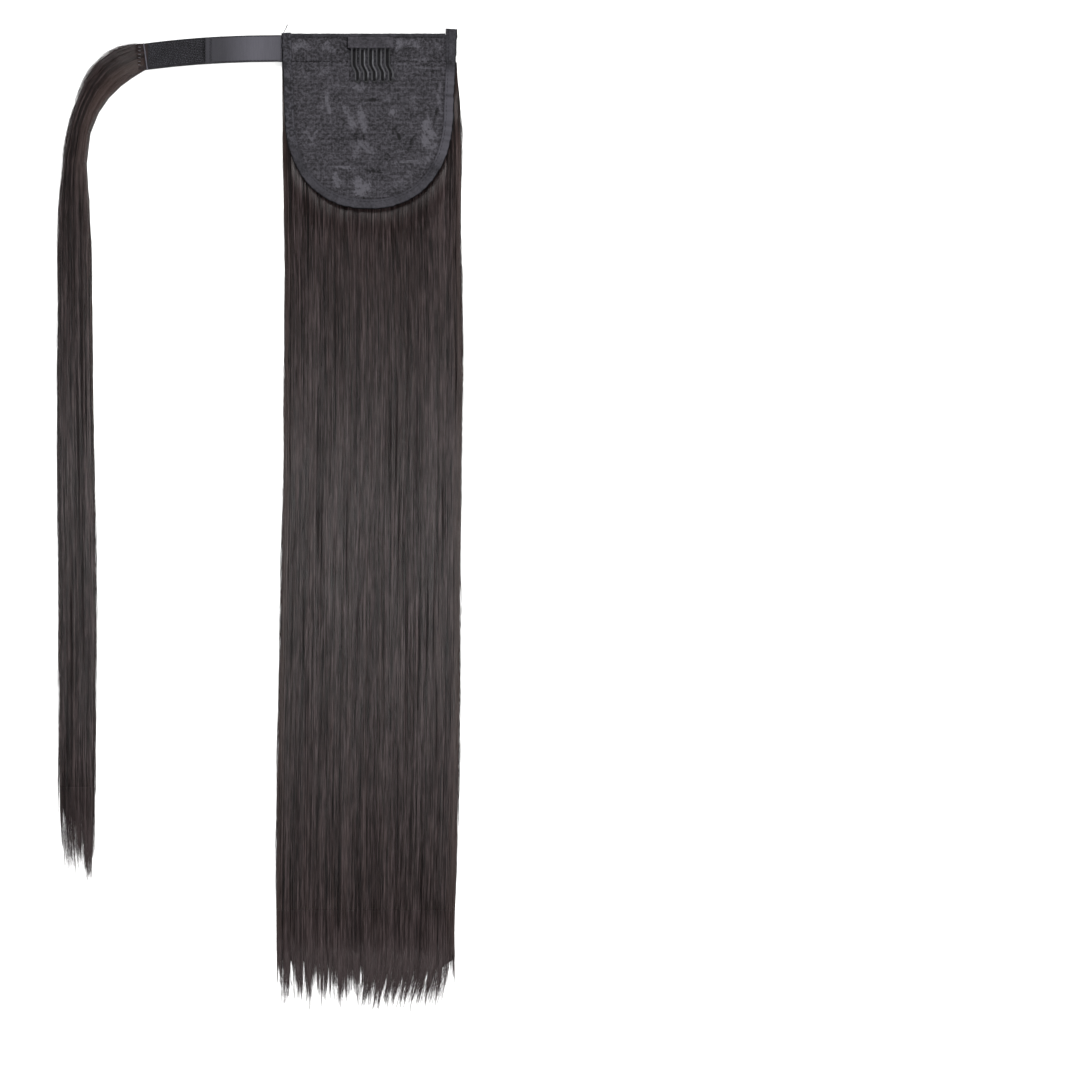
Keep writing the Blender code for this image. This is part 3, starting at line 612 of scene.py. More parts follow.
def cloth_finish(name, colour, threads, roughness, grain=0.5, slub=0.6, blotch=1600.0,
                 **fixed):
    """Woven tape or thread in one colour: weave, uneven dye and lint.

    threads and blotch count the weave's threads and the dye's blotches in a metre. Points
    that keep "worn" are painted paler above zero, a painted light, and thin and netted below
    it.
    """
    material, graph, shader = new_finish(name, **{"Specular_IOR_Level": 0.15, **fixed})
    place = graph.place()
    weave = graph.group(plain_weave(), {"Vector": place, "Threads": threads, "Slub": slub})
    fuzz = graph.group(lint(), {"Vector": place, "Size": blotch})
    dark = toned(colour, 1.0 - grain)
    light = toned(colour, 1.0 + grain)
    shade = graph.weighted((weave["Shade"], 0.3), (fuzz["Mask"], 0.7))
    colours = graph.mix(shade, dark, light)
    # Painted shade in the weave's hollows: where the threads lie low the cloth is painted
    # darker
    colours = graph.mix(graph.between(weave["Height"], 0.0, 0.8, 0.45, 0.0), colours, dark)
    painted_light_and_thinning = graph.stored("painted_light_and_thinning")
    # Painted light: above zero the cloth is painted paler
    colours = graph.mix(painted_light_and_thinning, colours, toned(colour, 2.1))
    bare = graph.math("MULTIPLY", painted_light_and_thinning, -0.8, clamp=True)
    colours = graph.mix(bare, colours, toned(colour, 2.0))
    holes = graph.between(graph.noise(place, 430.0, 3.0, 0.62), 0.42, 0.58, 1.0, 0.0)
    netted = graph.math("MULTIPLY", graph.math("MULTIPLY", painted_light_and_thinning, -1.0), holes, clamp=True)
    colours = graph.mix(netted, colours, toned(colour, 0.15))
    specks = graph.math("MULTIPLY", fuzz["Specks"], 0.35)
    graph.feed(shader["Base Color"], graph.mix(specks, colours, light))
    graph.feed(shader["Roughness"],
               graph.between(shade, 0.0, 1.0, roughness + 0.08, roughness - 0.06))
    relief = graph.weighted((weave["Height"], 1.0), (fuzz["Height"], 0.6))
    graph.feed(shader["Normal"], graph.bump(relief, 0.00012, 0.8))
    return material


def satin_finish(look):
    """Ribbon with fine streaks, darker selvedges and a painted highlight that rises along the
    strap, peaks near its middle and falls off next to the cap.
    """
    material, graph, shader = new_finish("satin", Specular_IOR_Level=0.10)
    place = graph.place()
    flat = graph.stretched(place, (1.0, 1.0, 0.0))
    streaks = graph.group(fibre_streaks(), {"Vector": flat, "Fineness": 2200.0})
    weave = graph.group(plain_weave(), {"Vector": place, "Threads": 3600.0, "Slub": 0.3})
    x = graph.parts(place)[0]
    # Painted highlight: the ribbon's colour is scaled by its place along the strap, as if lit
    # most near its middle
    painted_sheen = graph.math("MULTIPLY", graph.between(x, -0.027, -0.006, 0.58, 1.30),
                       graph.between(x, 0.001, 0.015, 1.0, 0.80))
    lit = graph.mix(graph.math("MULTIPLY", streaks["Streak"], 0.30), look.satin,
                    toned(look.satin, 1.45))
    # Painted shade in the weave's hollows: low threads are painted darker
    painted_shade = graph.mix(graph.between(weave["Height"], 0.0, 0.7, 0.25, 0.0), lit,
                    toned(look.satin, 0.5))
    painted_sheen_grey = graph.add("CombineColor", dict.fromkeys(("Red", "Green", "Blue"), painted_sheen))
    # The painted highlight and the painted shade of the weave's hollows are multiplied into the
    # ribbon's colour
    painted_shading = graph.mix(1.0, painted_shade, painted_sheen_grey.outputs[0], "MULTIPLY")
    graph.feed(shader["Base Color"],
               graph.mix(graph.stored("selvedge"), painted_shading, toned(look.satin, 0.35)))
    graph.feed(shader["Roughness"], graph.between(streaks["Streak"], 0.0, 1.0, 0.46, 0.36))
    relief = graph.weighted((weave["Height"], 0.5), (streaks["Height"], 0.5))
    graph.feed(shader["Normal"], graph.bump(relief, 0.00008, 0.7))
    return material


def wire_finish(look):
    """Black lacquer over wire, painted paler where its points keep a "shine": a painted
    highlight.
    """
    material, graph, shader = new_finish("lacquered_wire", Specular_IOR_Level=0.12,
                                         Coat_Roughness=0.35)
    fuzz = graph.group(lint(), {"Vector": graph.place(), "Size": 700.0})
    painted_highlight = graph.math("MULTIPLY", graph.stored("shine"),
                        graph.between(fuzz["Mask"], 0.0, 1.0, 0.35, 1.0))
    graph.feed(shader["Base Color"], graph.mix(painted_highlight, look.wire, toned(look.wire, 9.0)))
    graph.feed(shader["Roughness"],
               graph.between(fuzz["Mask"], 0.0, 1.0, look.roughness, look.roughness + 0.18))
    graph.feed(shader["Coat Weight"], graph.between(fuzz["Specks"], 0.0, 1.0, 0.06, 0.02))
    graph.feed(shader["Normal"], graph.bump(fuzz["Height"], 0.00006, 0.5))
    return material


def floor_finish(look):
    """Pale paper floor with a faint tooth."""
    material, graph, shader = new_finish("floor_paper", Specular_IOR_Level=0.2)
    tooth = graph.noise(graph.place(), 900.0, 2.0)
    graph.feed(shader["Base Color"],
               graph.mix(graph.between(tooth, 0.3, 0.7, 0.0, 0.02), look.floor, (1, 1, 1)))
    graph.feed(shader["Roughness"], graph.between(tooth, 0.3, 0.7, 0.88, 0.94))
    return material


# Meshes

def smoothstep(value, low=0.0, high=1.0):
    share = np.clip((value - low) / (high - low), 0.0, 1.0)
    return share * share * (3.0 - 2.0 * share)


def ripples(seed, pitches, first, second):
    """Slow waves over two coordinates, summed, from -1 to 1. pitches: one pair a wave."""
    phases = np.random.default_rng(seed).random(len(pitches))
    waves = [np.sin(2 * np.pi * (first / across + second / along + phase))
             for (across, along), phase in zip(pitches, phases)]
    return sum(waves) / len(pitches)


def ripples_along(seed, pitches, along):
    """The same over one coordinate."""
    return ripples(seed, [(pitch, 1.0) for pitch in pitches], along, 0.0)


def gone_by(points):
    """How far along a line of points each of them lies."""
    steps = np.linalg.norm(np.diff(points, axis=0), axis=1)
    return np.concatenate(([0.0], np.cumsum(steps)))


def sheet_rings(x, y, top, low):
    """Rings round a sheet, each across its top side and back across its underside."""
    x, y, top, low = np.broadcast_arrays(x, y, top, low)
    upper = np.stack([x, y, top], axis=-1)
    lower = np.stack([x, y, low], axis=-1)
    return np.concatenate([upper, lower[..., ::-1, :]], axis=-2)


def to_row(points):
    """Band frame to row frame."""
    return np.asarray(points, float) + (ROOT_X, ROOT_Y, 0.0)


def mesh_piece(name, corners, faces, finish, attributes=(), smooth=True):
    """A piece from corners in the band frame and rows of equal-sided faces."""
    mesh = bpy.data.meshes.new(name)
    corners = to_row(corners)
    sides = np.concatenate([np.full(len(rows), rows.shape[1]) for rows in faces])
    mesh.vertices.add(len(corners))
    mesh.vertices.foreach_set("co", corners.astype(np.float32).ravel())
    mesh.loops.add(int(sides.sum()))
    mesh.loops.foreach_set("vertex_index",
                           np.concatenate([rows.ravel() for rows in faces]).astype(np.int32))
    mesh.polygons.add(len(sides))
    starts = np.concatenate(([0], np.cumsum(sides)[:-1]))
    mesh.polygons.foreach_set("loop_start", starts.astype(np.int32))
    mesh.polygons.foreach_set("use_smooth", np.full(len(sides), smooth))
    mesh.update(calc_edges=True)
    mesh.validate()
    for label, kind, values in attributes:
        layer = mesh.attributes.new(label, kind, "POINT")
        field = {"FLOAT": "value", "FLOAT_VECTOR": "vector", "FLOAT_COLOR": "color"}[kind]
        layer.data.foreach_set(field, np.ascontiguousarray(values, np.float32).ravel())
    mesh.materials.append(finish)
    piece = bpy.data.objects.new(name, mesh)
    bpy.context.scene.collection.objects.link(piece)
    return piece


def lofted_piece(name, rings, finish, attributes=(), sharp_degrees=60):
    """A closed solid through rings of as many points each, capped at both ends."""
    count, points = rings.shape[:2]
    ring = np.arange(count - 1)[:, None] * points
    point = np.arange(points)[None, :]
    after = (point + 1) % points
    sides = np.stack([ring + point, ring + after, ring + points + after,
                      ring + points + point], axis=-1).reshape(-1, 4)
    last = (count - 1) * points
    faces = [sides, point[:, ::-1], last + point]
    piece = mesh_piece(name, rings.reshape(-1, 3), faces, finish, attributes)
    bm = bmesh.new()
    bm.from_mesh(piece.data)
    bmesh.ops.recalc_face_normals(bm, faces=bm.faces)
    bm.to_mesh(piece.data)
    bm.free()
    piece.data.set_sharp_from_angle(angle=math.radians(sharp_degrees))
    return piece


RING_ANGLES = np.radians((90.0, 210.0, 330.0))
SHORTEST = 1e-9
# A run nearer to the vertical than this takes +X as its side
UPRIGHT = 0.02


def strands_piece(name, paths, radii, finish, attributes=(), flatness=0.8):
    """Three-sided closed tubes along paths of shape (strands, stations, 3).

    flatness: height of a tube as a share of its width.
    """
    count, stations = radii.shape
    run = np.gradient(paths, axis=1)
    run /= np.maximum(np.linalg.norm(run, axis=2, keepdims=True), SHORTEST)
    side = np.stack([run[..., 1], -run[..., 0], np.zeros_like(radii)], axis=-1)
    level = np.linalg.norm(side, axis=2, keepdims=True)
    side = np.where(level > UPRIGHT, side / np.maximum(level, SHORTEST), (1.0, 0.0, 0.0))
    up = np.cross(side, run)
    sizes = radii[:, :, None, None]
    rings = (paths[:, :, None, :]
             + sizes * np.cos(RING_ANGLES)[:, None] * side[:, :, None, :]
             + sizes * flatness * np.sin(RING_ANGLES)[:, None] * up[:, :, None, :])
    start = ((np.arange(count)[:, None] * stations + np.arange(stations - 1)) * 3).ravel()
    sides = np.concatenate([np.stack([start + i, start + i + 3, start + (i + 1) % 3 + 3,
                                      start + (i + 1) % 3], axis=-1) for i in range(3)])
    root = np.arange(count) * stations * 3
    tip = root + (stations - 1) * 3
    roots = np.stack([root, root + 1, root + 2], axis=-1)
    tips = np.stack([tip + 2, tip + 1, tip], axis=-1)
    spread = [(label, kind, np.repeat(values.reshape(count * stations, -1), 3, axis=0))
              for label, kind, values in attributes]
    return mesh_piece(name, rings.reshape(-1, 3), [sides, roots, tips], finish, spread)


def settle(piece, slot, *nodes):
    """Put a piece on the part's one body and hide the CAD nodes that it stands for."""
    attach(piece, "root")
    if nodes:
        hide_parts(*nodes)


def dress(node, finish):
    """Give a CAD node a finish of this scene."""
    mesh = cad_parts[node].data
    mesh.materials.clear()
    mesh.materials.append(finish)


# Shapes of the CAD part

def strap_line(x):
    past_cap = np.maximum(0.0, -CAP_TOP_HALF - np.asarray(x, float))
    return -STRAP_DROP * (past_cap / STRAP_LENGTH) ** STRAP_DROP_POWER


def hair_centre(along):
    return HAIR_WIDTH * HAIR_SECTIONS.at("shift", along)


def pile_top(x, y):
    """Height of the crowned surface that the cap lies on: tape, then hair."""
    along = np.maximum(0.0, (HAIR_START - y) / HAIR_LENGTH)
    rise = (HAIR_THICK - TAPE_TOP) * HAIR_SECTIONS.at("bulk", along)
    across = (x - hair_centre(along)) / (HAIR_WIDTH / 2)
    return TAPE_TOP + rise * (1.0 - HAIR_CROWN_SHARE * across * across)


def cap_half(y, inset=0.0):
    """Half width of the cap's outline at y, or of a line that lies inset within it."""
    y = np.asarray(y, float)
    share = (BAND_EDGE - y) / CAP_SIDE_DEPTH
    side = CAP_TOP_HALF - (CAP_TOP_HALF - CAP_LOW_HALF) * share - inset
    depth = np.clip((CAP_SIDE_END - y) / (CAP_ROUND_DEPTH - inset), 0.0, 1.0)
    bend = (CAP_LOW_HALF - inset) * (1.0 - depth ** CAP_ROUND_POWER) ** (1 / CAP_ROUND_POWER)
    return np.where(y >= CAP_SIDE_END, side, bend)


def cap_outline(count):
    """The cap's edge from the right tail's end, round the bottom, to the left tail's end.

    Gives evenly spaced points, the direction that faces outward at each, and how far along
    each lies.
    """
    right = np.linspace(BAND_EDGE + BINDING_TAIL_RIGHT, CAP_SIDE_END, 60)
    left = np.linspace(CAP_SIDE_END, BAND_EDGE + BINDING_TAIL_LEFT, 60)
    angle = np.linspace(0.0, np.pi, 242)[1:-1]
    power = 2.0 / CAP_ROUND_POWER
    across = np.sign(np.cos(angle)) * np.abs(np.cos(angle)) ** power
    bend = np.stack([CAP_LOW_HALF * across,
                     CAP_SIDE_END - CAP_ROUND_DEPTH * np.sin(angle) ** power], axis=1)
    points = np.concatenate([np.stack([cap_half(right), right], axis=1), bend,
                             np.stack([-cap_half(left), left], axis=1)])
    gone = gone_by(points)
    marks = np.linspace(0.0, gone[-1], count)
    even = np.stack([np.interp(marks, gone, points[:, i]) for i in range(2)], axis=1)
    run = np.gradient(even, axis=0)
    run /= np.linalg.norm(run, axis=1, keepdims=True)
    return even, np.stack([-run[:, 1], run[:, 0]], axis=1), marks


class Fall:
    """The fall of hair: where it lies in plan, how high, and where its strands start.

    along runs from root to tips as a share of the length, and across from -1 to 1.
    """

    length = HAIR_LENGTH
    # How far short of their tuft's tip strands may end, and how evenly they do
    lag = 0.052
    lag_power = 0.27
    # How many locks across have a shade of their own
    fine_locks = 250
    # The tips get thin from here on, by this share
    thin_from = 0.925
    thin_share = 0.80
    # Past this share of the cap's width the strands are seen from their roots
    open_side = 0.93
    # How far in under the cap's edge strands start
    under_cap = 0.035

    def half_width(self, along):
        return HAIR_WIDTH * HAIR_SECTIONS.at("width", along) / 2

    def place(self, along, across):
        return (hair_centre(along) + self.half_width(along) * across,
                HAIR_START - HAIR_LENGTH * along)

    def height(self, along, across):
        inside = np.clip(np.abs(across), 0.0, 1.0)
        rounded = np.sqrt(1.0 - inside ** HAIR_EDGE_POWER)
        thin = 1.0 - self.thin_share * smoothstep(along, self.thin_from, 1.0)
        return pile_top(*self.place(along, across)) * rounded * thin

    def first_seen(self, across):
        """Where along each strand comes out from under the cap, less a little."""
        x = np.abs(self.place(0.1, across)[0])
        share = np.clip(x / CAP_LOW_HALF, 0.0, 1.0)
        drop = CAP_ROUND_DEPTH * (1.0 - share ** CAP_ROUND_POWER) ** (1 / CAP_ROUND_POWER)
        under = (HAIR_START - (CAP_SIDE_END - drop)) / HAIR_LENGTH - self.under_cap
        return np.where(share > self.open_side, 0.0, np.maximum(under, 0.0))


class Wrap:
    """The strand that wraps round, in the same terms as Fall.

    Its middle line starts at the strap's end and turns down, a short step at a time.
    """

    length = STRAND_LENGTH
    lag = 0.066
    lag_power = 0.30
    fine_locks = 44
    thin_from = 0.93
    thin_share = 0.75
    # The strand lies over the strap's end as far as this, and comes down by here
    seam_from, seam_to = 0.008, 0.026
    steps = 600

    def __init__(self):
        alongs = (np.arange(self.steps) + 0.5) / self.steps
        turns = np.radians(STRAND_SECTIONS.at("turn", alongs))
        step = STRAND_LENGTH / self.steps
        start = STRAP_END - CLEAR
        self.marks = np.linspace(0.0, 1.0, self.steps + 1)
        self.xs = start - np.concatenate(([0.0], np.cumsum(np.cos(turns)))) * step
        self.ys = strap_line(start) - np.concatenate(([0.0], np.cumsum(np.sin(turns)))) * step

    def half_width(self, along):
        return STRAND_WIDTH * STRAND_SECTIONS.at("width", along) / 2

    def place(self, along, across):
        turn = np.radians(STRAND_SECTIONS.at("turn", along))
        reach = -self.half_width(along) * across
        run_on = np.maximum(along - 1.0, 0.0) * STRAND_LENGTH
        x = np.interp(along, self.marks, self.xs) - np.sin(turn) * reach
        y = np.interp(along, self.marks, self.ys) + np.cos(turn) * reach
        return x - np.cos(turn) * run_on, y - np.sin(turn) * run_on

    def height(self, along, across):
        inside = np.clip(np.abs(across), 0.0, 1.0)
        rise = (STRAND_THICK - TAPE_TOP) * STRAND_SECTIONS.at("bulk", along)
        rise = rise + SEAM_LIFT * (1.0 - smoothstep(along, self.seam_from, self.seam_to))
        thin = 1.0 - self.thin_share * smoothstep(along, self.thin_from, 1.0)
        return (TAPE_TOP + rise) * np.sqrt(1.0 - inside ** STRAND_EDGE_POWER) * thin

    def first_seen(self, across):
        return np.zeros_like(across)


# Hair

# The mass of hair: its width as a share of the sheet's, how far back its ragged end
# reaches, the length over which it closes, its height at the end and its least height
MASS_WIDTH = 0.985
MASS_RAGGED = 0.012
MASS_CLOSING = 0.022
MASS_END_HEIGHT = 0.0006
MASS_LEAST_HEIGHT = 0.0005
# Depth of the grooves on its upper side, and height and depth of those on its underside
MASS_GROOVE = 0.00035
MASS_UNDERSIDE = 0.00018
MASS_UNDER_GROOVE = 0.00012
MASS_PITCHES = ((0.0031, 0.9), (0.0019, -0.6), (0.0047, 1.7), (0.0013, 0.45))


def hair_mass(name, shape, end, columns, stations, cover, finish):
    """The closed mass of hair below the loose strands, grooved along its flow.

    cover: how far below the sheet's surface it lies. end: where along it ends.
    """
    across = MASS_WIDTH * np.sin(np.linspace(-np.pi / 2, np.pi / 2, columns))[None, :]
    wide = across * shape.half_width(0.9)
    end = end - MASS_RAGGED * (1.0 + ripples_along(13, (0.0043, 0.0071, 0.019), wide))
    along = np.linspace(0.0, 1.0, stations)[:, None] * end
    across = np.broadcast_to(across, along.shape)
    x, y = shape.place(along, across)
    flow_x = across * shape.half_width(along)
    flow_y = along * shape.length
    relief = ripples(11, MASS_PITCHES, flow_x, flow_y)
    closing = smoothstep(along, end - MASS_CLOSING, end)
    top = (shape.height(along, across) - cover) * (1.0 - closing) + MASS_END_HEIGHT * closing
    top = np.maximum(top + MASS_GROOVE * relief * (1.0 - closing), MASS_LEAST_HEIGHT)
    low = MASS_UNDERSIDE + MASS_UNDER_GROOVE * ripples(12, MASS_PITCHES, flow_x, flow_y)
    flow = np.stack([flow_x, flow_y, np.zeros_like(flow_x)], axis=-1)
    underside_flow = flow[:, ::-1] + (0.5, 0.0, 0.0)
    flow = np.concatenate([flow, underside_flow], axis=1)
    return lofted_piece(name, sheet_rings(x, y, top, low), finish,
                        [("flow", "FLOAT_VECTOR", flow.reshape(-1, 3))])


class Tufts:
    """Where strands gather towards their tips: tufts, each split into a few fine ones."""

    def __init__(self, table, rng):
        size = table.columns["size"]
        self.edges = np.concatenate(([0.0], np.cumsum(size))) / size.sum() * 2.0 - 1.0
        self.middle = (self.edges[1:] + self.edges[:-1]) / 2
        self.tip = table.columns["tip"]
        self.lean = table.columns["lean"] / 1000.0
        slit = table.columns["slit"]
        self.slit_right = slit
        self.slit_left = np.concatenate(([slit[0]], slit[:-1]))
        fine = [self.edges[:1]]
        for low, high in zip(self.edges[:-1], self.edges[1:]):
            cuts = np.cumsum(rng.uniform(0.6, 1.4, rng.integers(3, 7)))
            fine.append(low + (high - low) * cuts / cuts[-1])
        self.fine_edges = np.concatenate(fine)
        self.fine_middle = (self.fine_edges[1:] + self.fine_edges[:-1]) / 2
        self.fine_half = np.diff(self.fine_edges) / 2
        self.fine_tip = np.clip(rng.normal(-0.004, 0.007, len(self.fine_half)), -0.02, 0.006)
        self.fine_lean = rng.normal(0.0, 0.0007, len(self.fine_half))

    def of(self, across):
        return np.clip(np.searchsorted(self.edges, across) - 1, 0, len(self.middle) - 1)

    def fine_of(self, across):
        return np.clip(np.searchsorted(self.fine_edges, across) - 1, 0,
                       len(self.fine_half) - 1)


class Locks:
    """Random shade of hair by lock: strands that run side by side share it."""

    def __init__(self, rng, count, stations):
        self.edges = np.sort(rng.uniform(-1.0, 1.0, count))
        self.shades = rng.random((count + 1, stations))

    def at(self, across, along):
        lock = np.searchsorted(self.edges, across)[:, None]
        last = self.shades.shape[1] - 1
        station = np.clip(along, 0.0, 0.999) * last
        low = station.astype(int)
        share = station - low
        return self.shades[lock, low] * (1.0 - share) + self.shades[lock, low + 1] * share


def random_partings(rng, count, width, depth, longest):
    """Short dark gaps scattered over a sheet of hair."""
    across = rng.uniform(-0.96, 0.96, count)
    start = rng.uniform(0.0, 0.93, count)
    length = rng.uniform(0.3, 1.0, count) * longest
    return [(a, s, s + d, width * w, depth)
            for a, s, d, w in zip(across, start, length, rng.uniform(0.6, 1.5, count))]


def slow_noise(rng, along, low, high):
    """One smooth random wave for each strand, from about -1 to 1."""
    count = len(along)
    total = 0.0
    for _ in range(2):
        pace = rng.uniform(low, high, count)[:, None]
        total = total + np.sin(2 * np.pi * (pace * along + rng.random(count)[:, None]))
    return total / 2


# Share of strands that hardly gather into their tufts
FREE_SHARE = 0.16
# How far strands may run past their tuft's tip, less by this much at a fine tuft's sides
RUN_ON = 0.021
RUN_ON_LOSS = 0.008
# How much the fine tufts close up inside a tuft, and over what length each draws in
TUFT_CLOSING = 0.24
FINE_SLIT = 0.034
# Sideways spread of single tips, of all strands and of the free ones
TIP_SPREAD = 0.0004
FREE_TIP_SPREAD = 0.0011
# Sideways waves: each strand's own, and the one that neighbours share
OWN_WANDER = 0.0005
SHARED_WANDER = 0.0008
# Strands move out of a parting by at most this share of its half width
PARTING_PUSH = 0.35
# How far strands of a dark lock lie below those of a light one
LOCK_DIP = 0.00060
# Shares of the tone that come from the fine locks, the broad ones and the strand itself
FINE_TONE, BROAD_TONE, OWN_TONE = 0.34, 0.10, 0.56
TONE_CONTRAST = 1.7


def lay_strands(shape, rng, count, shares, tufts, partings, look):
    """Paths, radii, tints and flow of loose strands that follow a sheet of hair.

    A tint is tone, brownness, place along, and how little painted shade of a parting is on it.
    Flow is the place in the sheet laid straight, in metres, which carries the fine streaks.
    """
    across = rng.uniform(-1.0, 1.0, count)
    k = tufts.of(across)
    j = tufts.fine_of(across)
    fine_offset = (across - tufts.fine_middle[j]) / tufts.fine_half[j]
    free = rng.random(count) < FREE_SHARE
    reach = tufts.tip[k] + tufts.fine_tip[j]
    lag = shape.lag * rng.random(count) ** shape.lag_power
    end = reach + RUN_ON - RUN_ON_LOSS * np.abs(fine_offset) ** 1.5 - lag
    start = shape.first_seen(across) * rng.uniform(0.8, 1.0, count)
    along = start[:, None] + (end - start)[:, None] * shares[None, :]

    slit = np.where(across < tufts.middle[k], tufts.slit_left[k], tufts.slit_right[k])
    gather = smoothstep((along - (reach - slit)[:, None]) / slit[:, None])
    fine_gather = smoothstep((along - (reach - FINE_SLIT)[:, None]) / FINE_SLIT)
    hold = np.where(free, 0.1, rng.uniform(0.35, 0.80, count))[:, None]
    fine_place = (tufts.fine_middle[j] - tufts.middle[k])[:, None]
    path = (tufts.middle[k][:, None] + fine_place * (1.0 - TUFT_CLOSING * gather)
            + (across - tufts.fine_middle[j])[:, None] * (1.0 - hold * fine_gather))
    width = shape.half_width(0.5)
    sideways = tufts.lean[k] + tufts.fine_lean[j] + rng.normal(0.0, TIP_SPREAD, count) \
        + free * rng.normal(0.0, FREE_TIP_SPREAD, count)
    path += sideways[:, None] / width * smoothstep(along, 0.940, 1.006) ** 1.5
    wander = OWN_WANDER * slow_noise(rng, along, 0.6, 2.2) \
        + SHARED_WANDER * np.sin(2 * np.pi * (across[:, None] * 2.7 + along * 1.3))
    path += wander / width * (1.0 - 0.75 * np.abs(across[:, None]) ** 4)

    parting_shade = np.zeros_like(along)
    sink = np.zeros_like(along)
    for place, low, high, spread, depth in partings:
        fade = 0.3 * (high - low)
        window = smoothstep(along, low, low + fade) \
            * (1.0 - smoothstep(along, high - fade, high))
        apart = path - place
        near = np.exp(-(apart / spread) ** 2) * window
        parting_shade = np.maximum(parting_shade, near * min(1.0, depth / FULL_PARTING))
        sink = np.maximum(sink, depth * near)
        path = path + PARTING_PUSH * spread * np.sign(apart) * near

    coarse = rng.random(count)
    radius = look.strand_radius * (0.45 + 1.25 * coarse ** 1.6)
    own_share = (along - start[:, None]) / (end - start)[:, None]
    radii = radius[:, None] * (1.0 - 0.80 * smoothstep(own_share, 0.90, 1.0))
    layer = rng.random(count) ** 1.3
    fine_shade = Locks(rng, shape.fine_locks, stations=26).at(across, along)
    broad_shade = Locks(rng, shape.fine_locks // 4, stations=9).at(across, along)
    top = shape.height(along, path)
    dip = LOCK_DIP * (1.0 - fine_shade)
    z = top - radii - look.layers * layer[:, None] - sink - dip
    floor = radii * 0.6 + 0.0001 + 0.0012 * layer[:, None] * smoothstep(top, 0.0, 0.003)
    x, y = shape.place(along, path)

    pick = rng.random(count)
    own = rng.beta(1.6, 2.2, count)
    own = np.where(pick < 0.10, rng.uniform(0.85, 1.0, count), own)
    own = np.where(pick > 0.86, rng.uniform(0.0, 0.10, count), own)
    tone = FINE_TONE * fine_shade + BROAD_TONE * broad_shade + OWN_TONE * own[:, None]
    tone = 0.42 + TONE_CONTRAST * (tone - 0.46)
    tone = tone + 0.70 * smoothstep(along, 0.905, 0.965)
    # Painted shade: strands in a parting are painted darker, on top of the real sink above
    tone = np.clip(tone * (1.0 - 0.95 * parting_shade), 0.0, 1.0)
    edge = smoothstep(np.abs(across), 0.90, 1.0) * rng.uniform(0.3, 1.0, count)
    brown = np.maximum(edge, (rng.random(count) < 0.14) * rng.uniform(0.3, 0.9, count))
    brown = np.maximum(brown[:, None], 0.6 * smoothstep(along, 0.940, 0.985))
    brown = brown * (1.0 - 0.9 * parting_shade)
    tint = np.stack([tone, brown, along, 1.0 - parting_shade], axis=-1)
    depth = np.broadcast_to(layer[:, None] * 0.004, along.shape)
    flow = np.stack([path * shape.half_width(along), along * shape.length, depth], axis=-1)
    paths = np.stack([x, y, np.maximum(z, floor)], axis=-1)
    return paths, radii, tint, flow


# Single hairs, in rows of low and high: place across, start along, length along, and how
# far they stray sideways in metres
FALL_WISPS = (
    (-1.0, -0.985, 0.05, 0.80, 0.05, 0.16, -0.0014, 0.0),
    (0.985, 1.0, 0.05, 0.80, 0.05, 0.16, 0.0, 0.0018),
    (-0.97, 0.0, 0.950, 0.975, 0.020, 0.040, -0.0012, 0.0014),
    (0.0, 0.95, 0.950, 0.975, 0.022, 0.042, -0.0070, -0.0020),
    (0.0, 0.90, 0.950, 0.975, 0.022, 0.042, -0.0070, -0.0020),
)
WRAP_WISPS = (
    (-1.0, -0.94, 0.00, 0.13, 0.020, 0.050, -0.0034, -0.0002),
    (-1.0, -0.98, 0.10, 0.85, 0.05, 0.14, -0.0012, 0.0),
    (-1.0, -0.98, 0.15, 0.85, 0.05, 0.14, -0.0010, 0.0),
    (0.98, 1.0, 0.15, 0.85, 0.05, 0.14, 0.0, 0.0010),
    (-0.9, 0.9, 0.93, 0.96, 0.03, 0.060, -0.0012, 0.0018),
    (-0.9, 0.9, 0.92, 0.96, 0.03, 0.055, -0.0012, 0.0018),
)
WISPS = 900


def lay_wisps(shape, rng, spans, stations, radius):
    """Single hairs that stray from a sheet's sides or run on past its tips."""
    rows = np.array(spans)[rng.integers(0, len(spans), WISPS)]

    def pick(column):
        return rng.uniform(rows[:, column], rows[:, column + 1])

    def one_each(low, high):
        return rng.uniform(low, high, WISPS)[:, None]

    shares = np.linspace(0.0, 1.0, stations)
    across, start, reach, stray = pick(0), pick(2), pick(4), pick(6)
    along = start[:, None] + reach[:, None] * shares[None, :]
    bow = np.sin(np.pi * shares)[None, :] * rng.normal(0.0, 0.0006, WISPS)[:, None]
    away = stray[:, None] * smoothstep(shares, 0.0, 0.85)[None, :] + bow
    path = across[:, None] + away / shape.half_width(0.5)
    lift = shape.height(along, path)
    z = np.maximum(lift * one_each(0.2, 0.95), 0.0003)
    x, y = shape.place(along, path)
    radii = radius * one_each(0.6, 1.2) * (1.0 - 0.7 * shares ** 3)
    tone = np.broadcast_to(one_each(0.35, 1.0), along.shape)
    brown = np.broadcast_to(one_each(0.0, 0.8), along.shape)
    tint = np.stack([tone, brown, along, np.ones_like(along)], axis=-1)
    flow = np.stack([path * shape.half_width(along), along * shape.length,
                     np.zeros_like(along)], axis=-1)
    return np.stack([x, y, z], axis=-1), radii, tint, flow


def hair_pieces(names, parts, finish):
    """Strands as pieces of as many each, so that no piece grows too large."""
    size = math.ceil(len(parts[0]) / len(names))
    for i, name in enumerate(names):
        paths, radii, tint, flow = (part[i * size:(i + 1) * size] for part in parts)
        settle(strands_piece(name, paths, radii, finish,
                             [("strand", "FLOAT_COLOR", tint),
                              ("flow", "FLOAT_VECTOR", flow)]), "hair_fibre")


# Where a strand's points lie along it, closer together where it bends or ends
FALL_STATIONS = np.array((0, .10, .22, .34, .46, .58, .70, .82, .92, .965, 1.0))
WRAP_STATIONS = np.array((0, .012, .03, .05, .075, .10, .13, .17, .23, .33, .45, .58, .74,
                          .89, .955, 1.0))


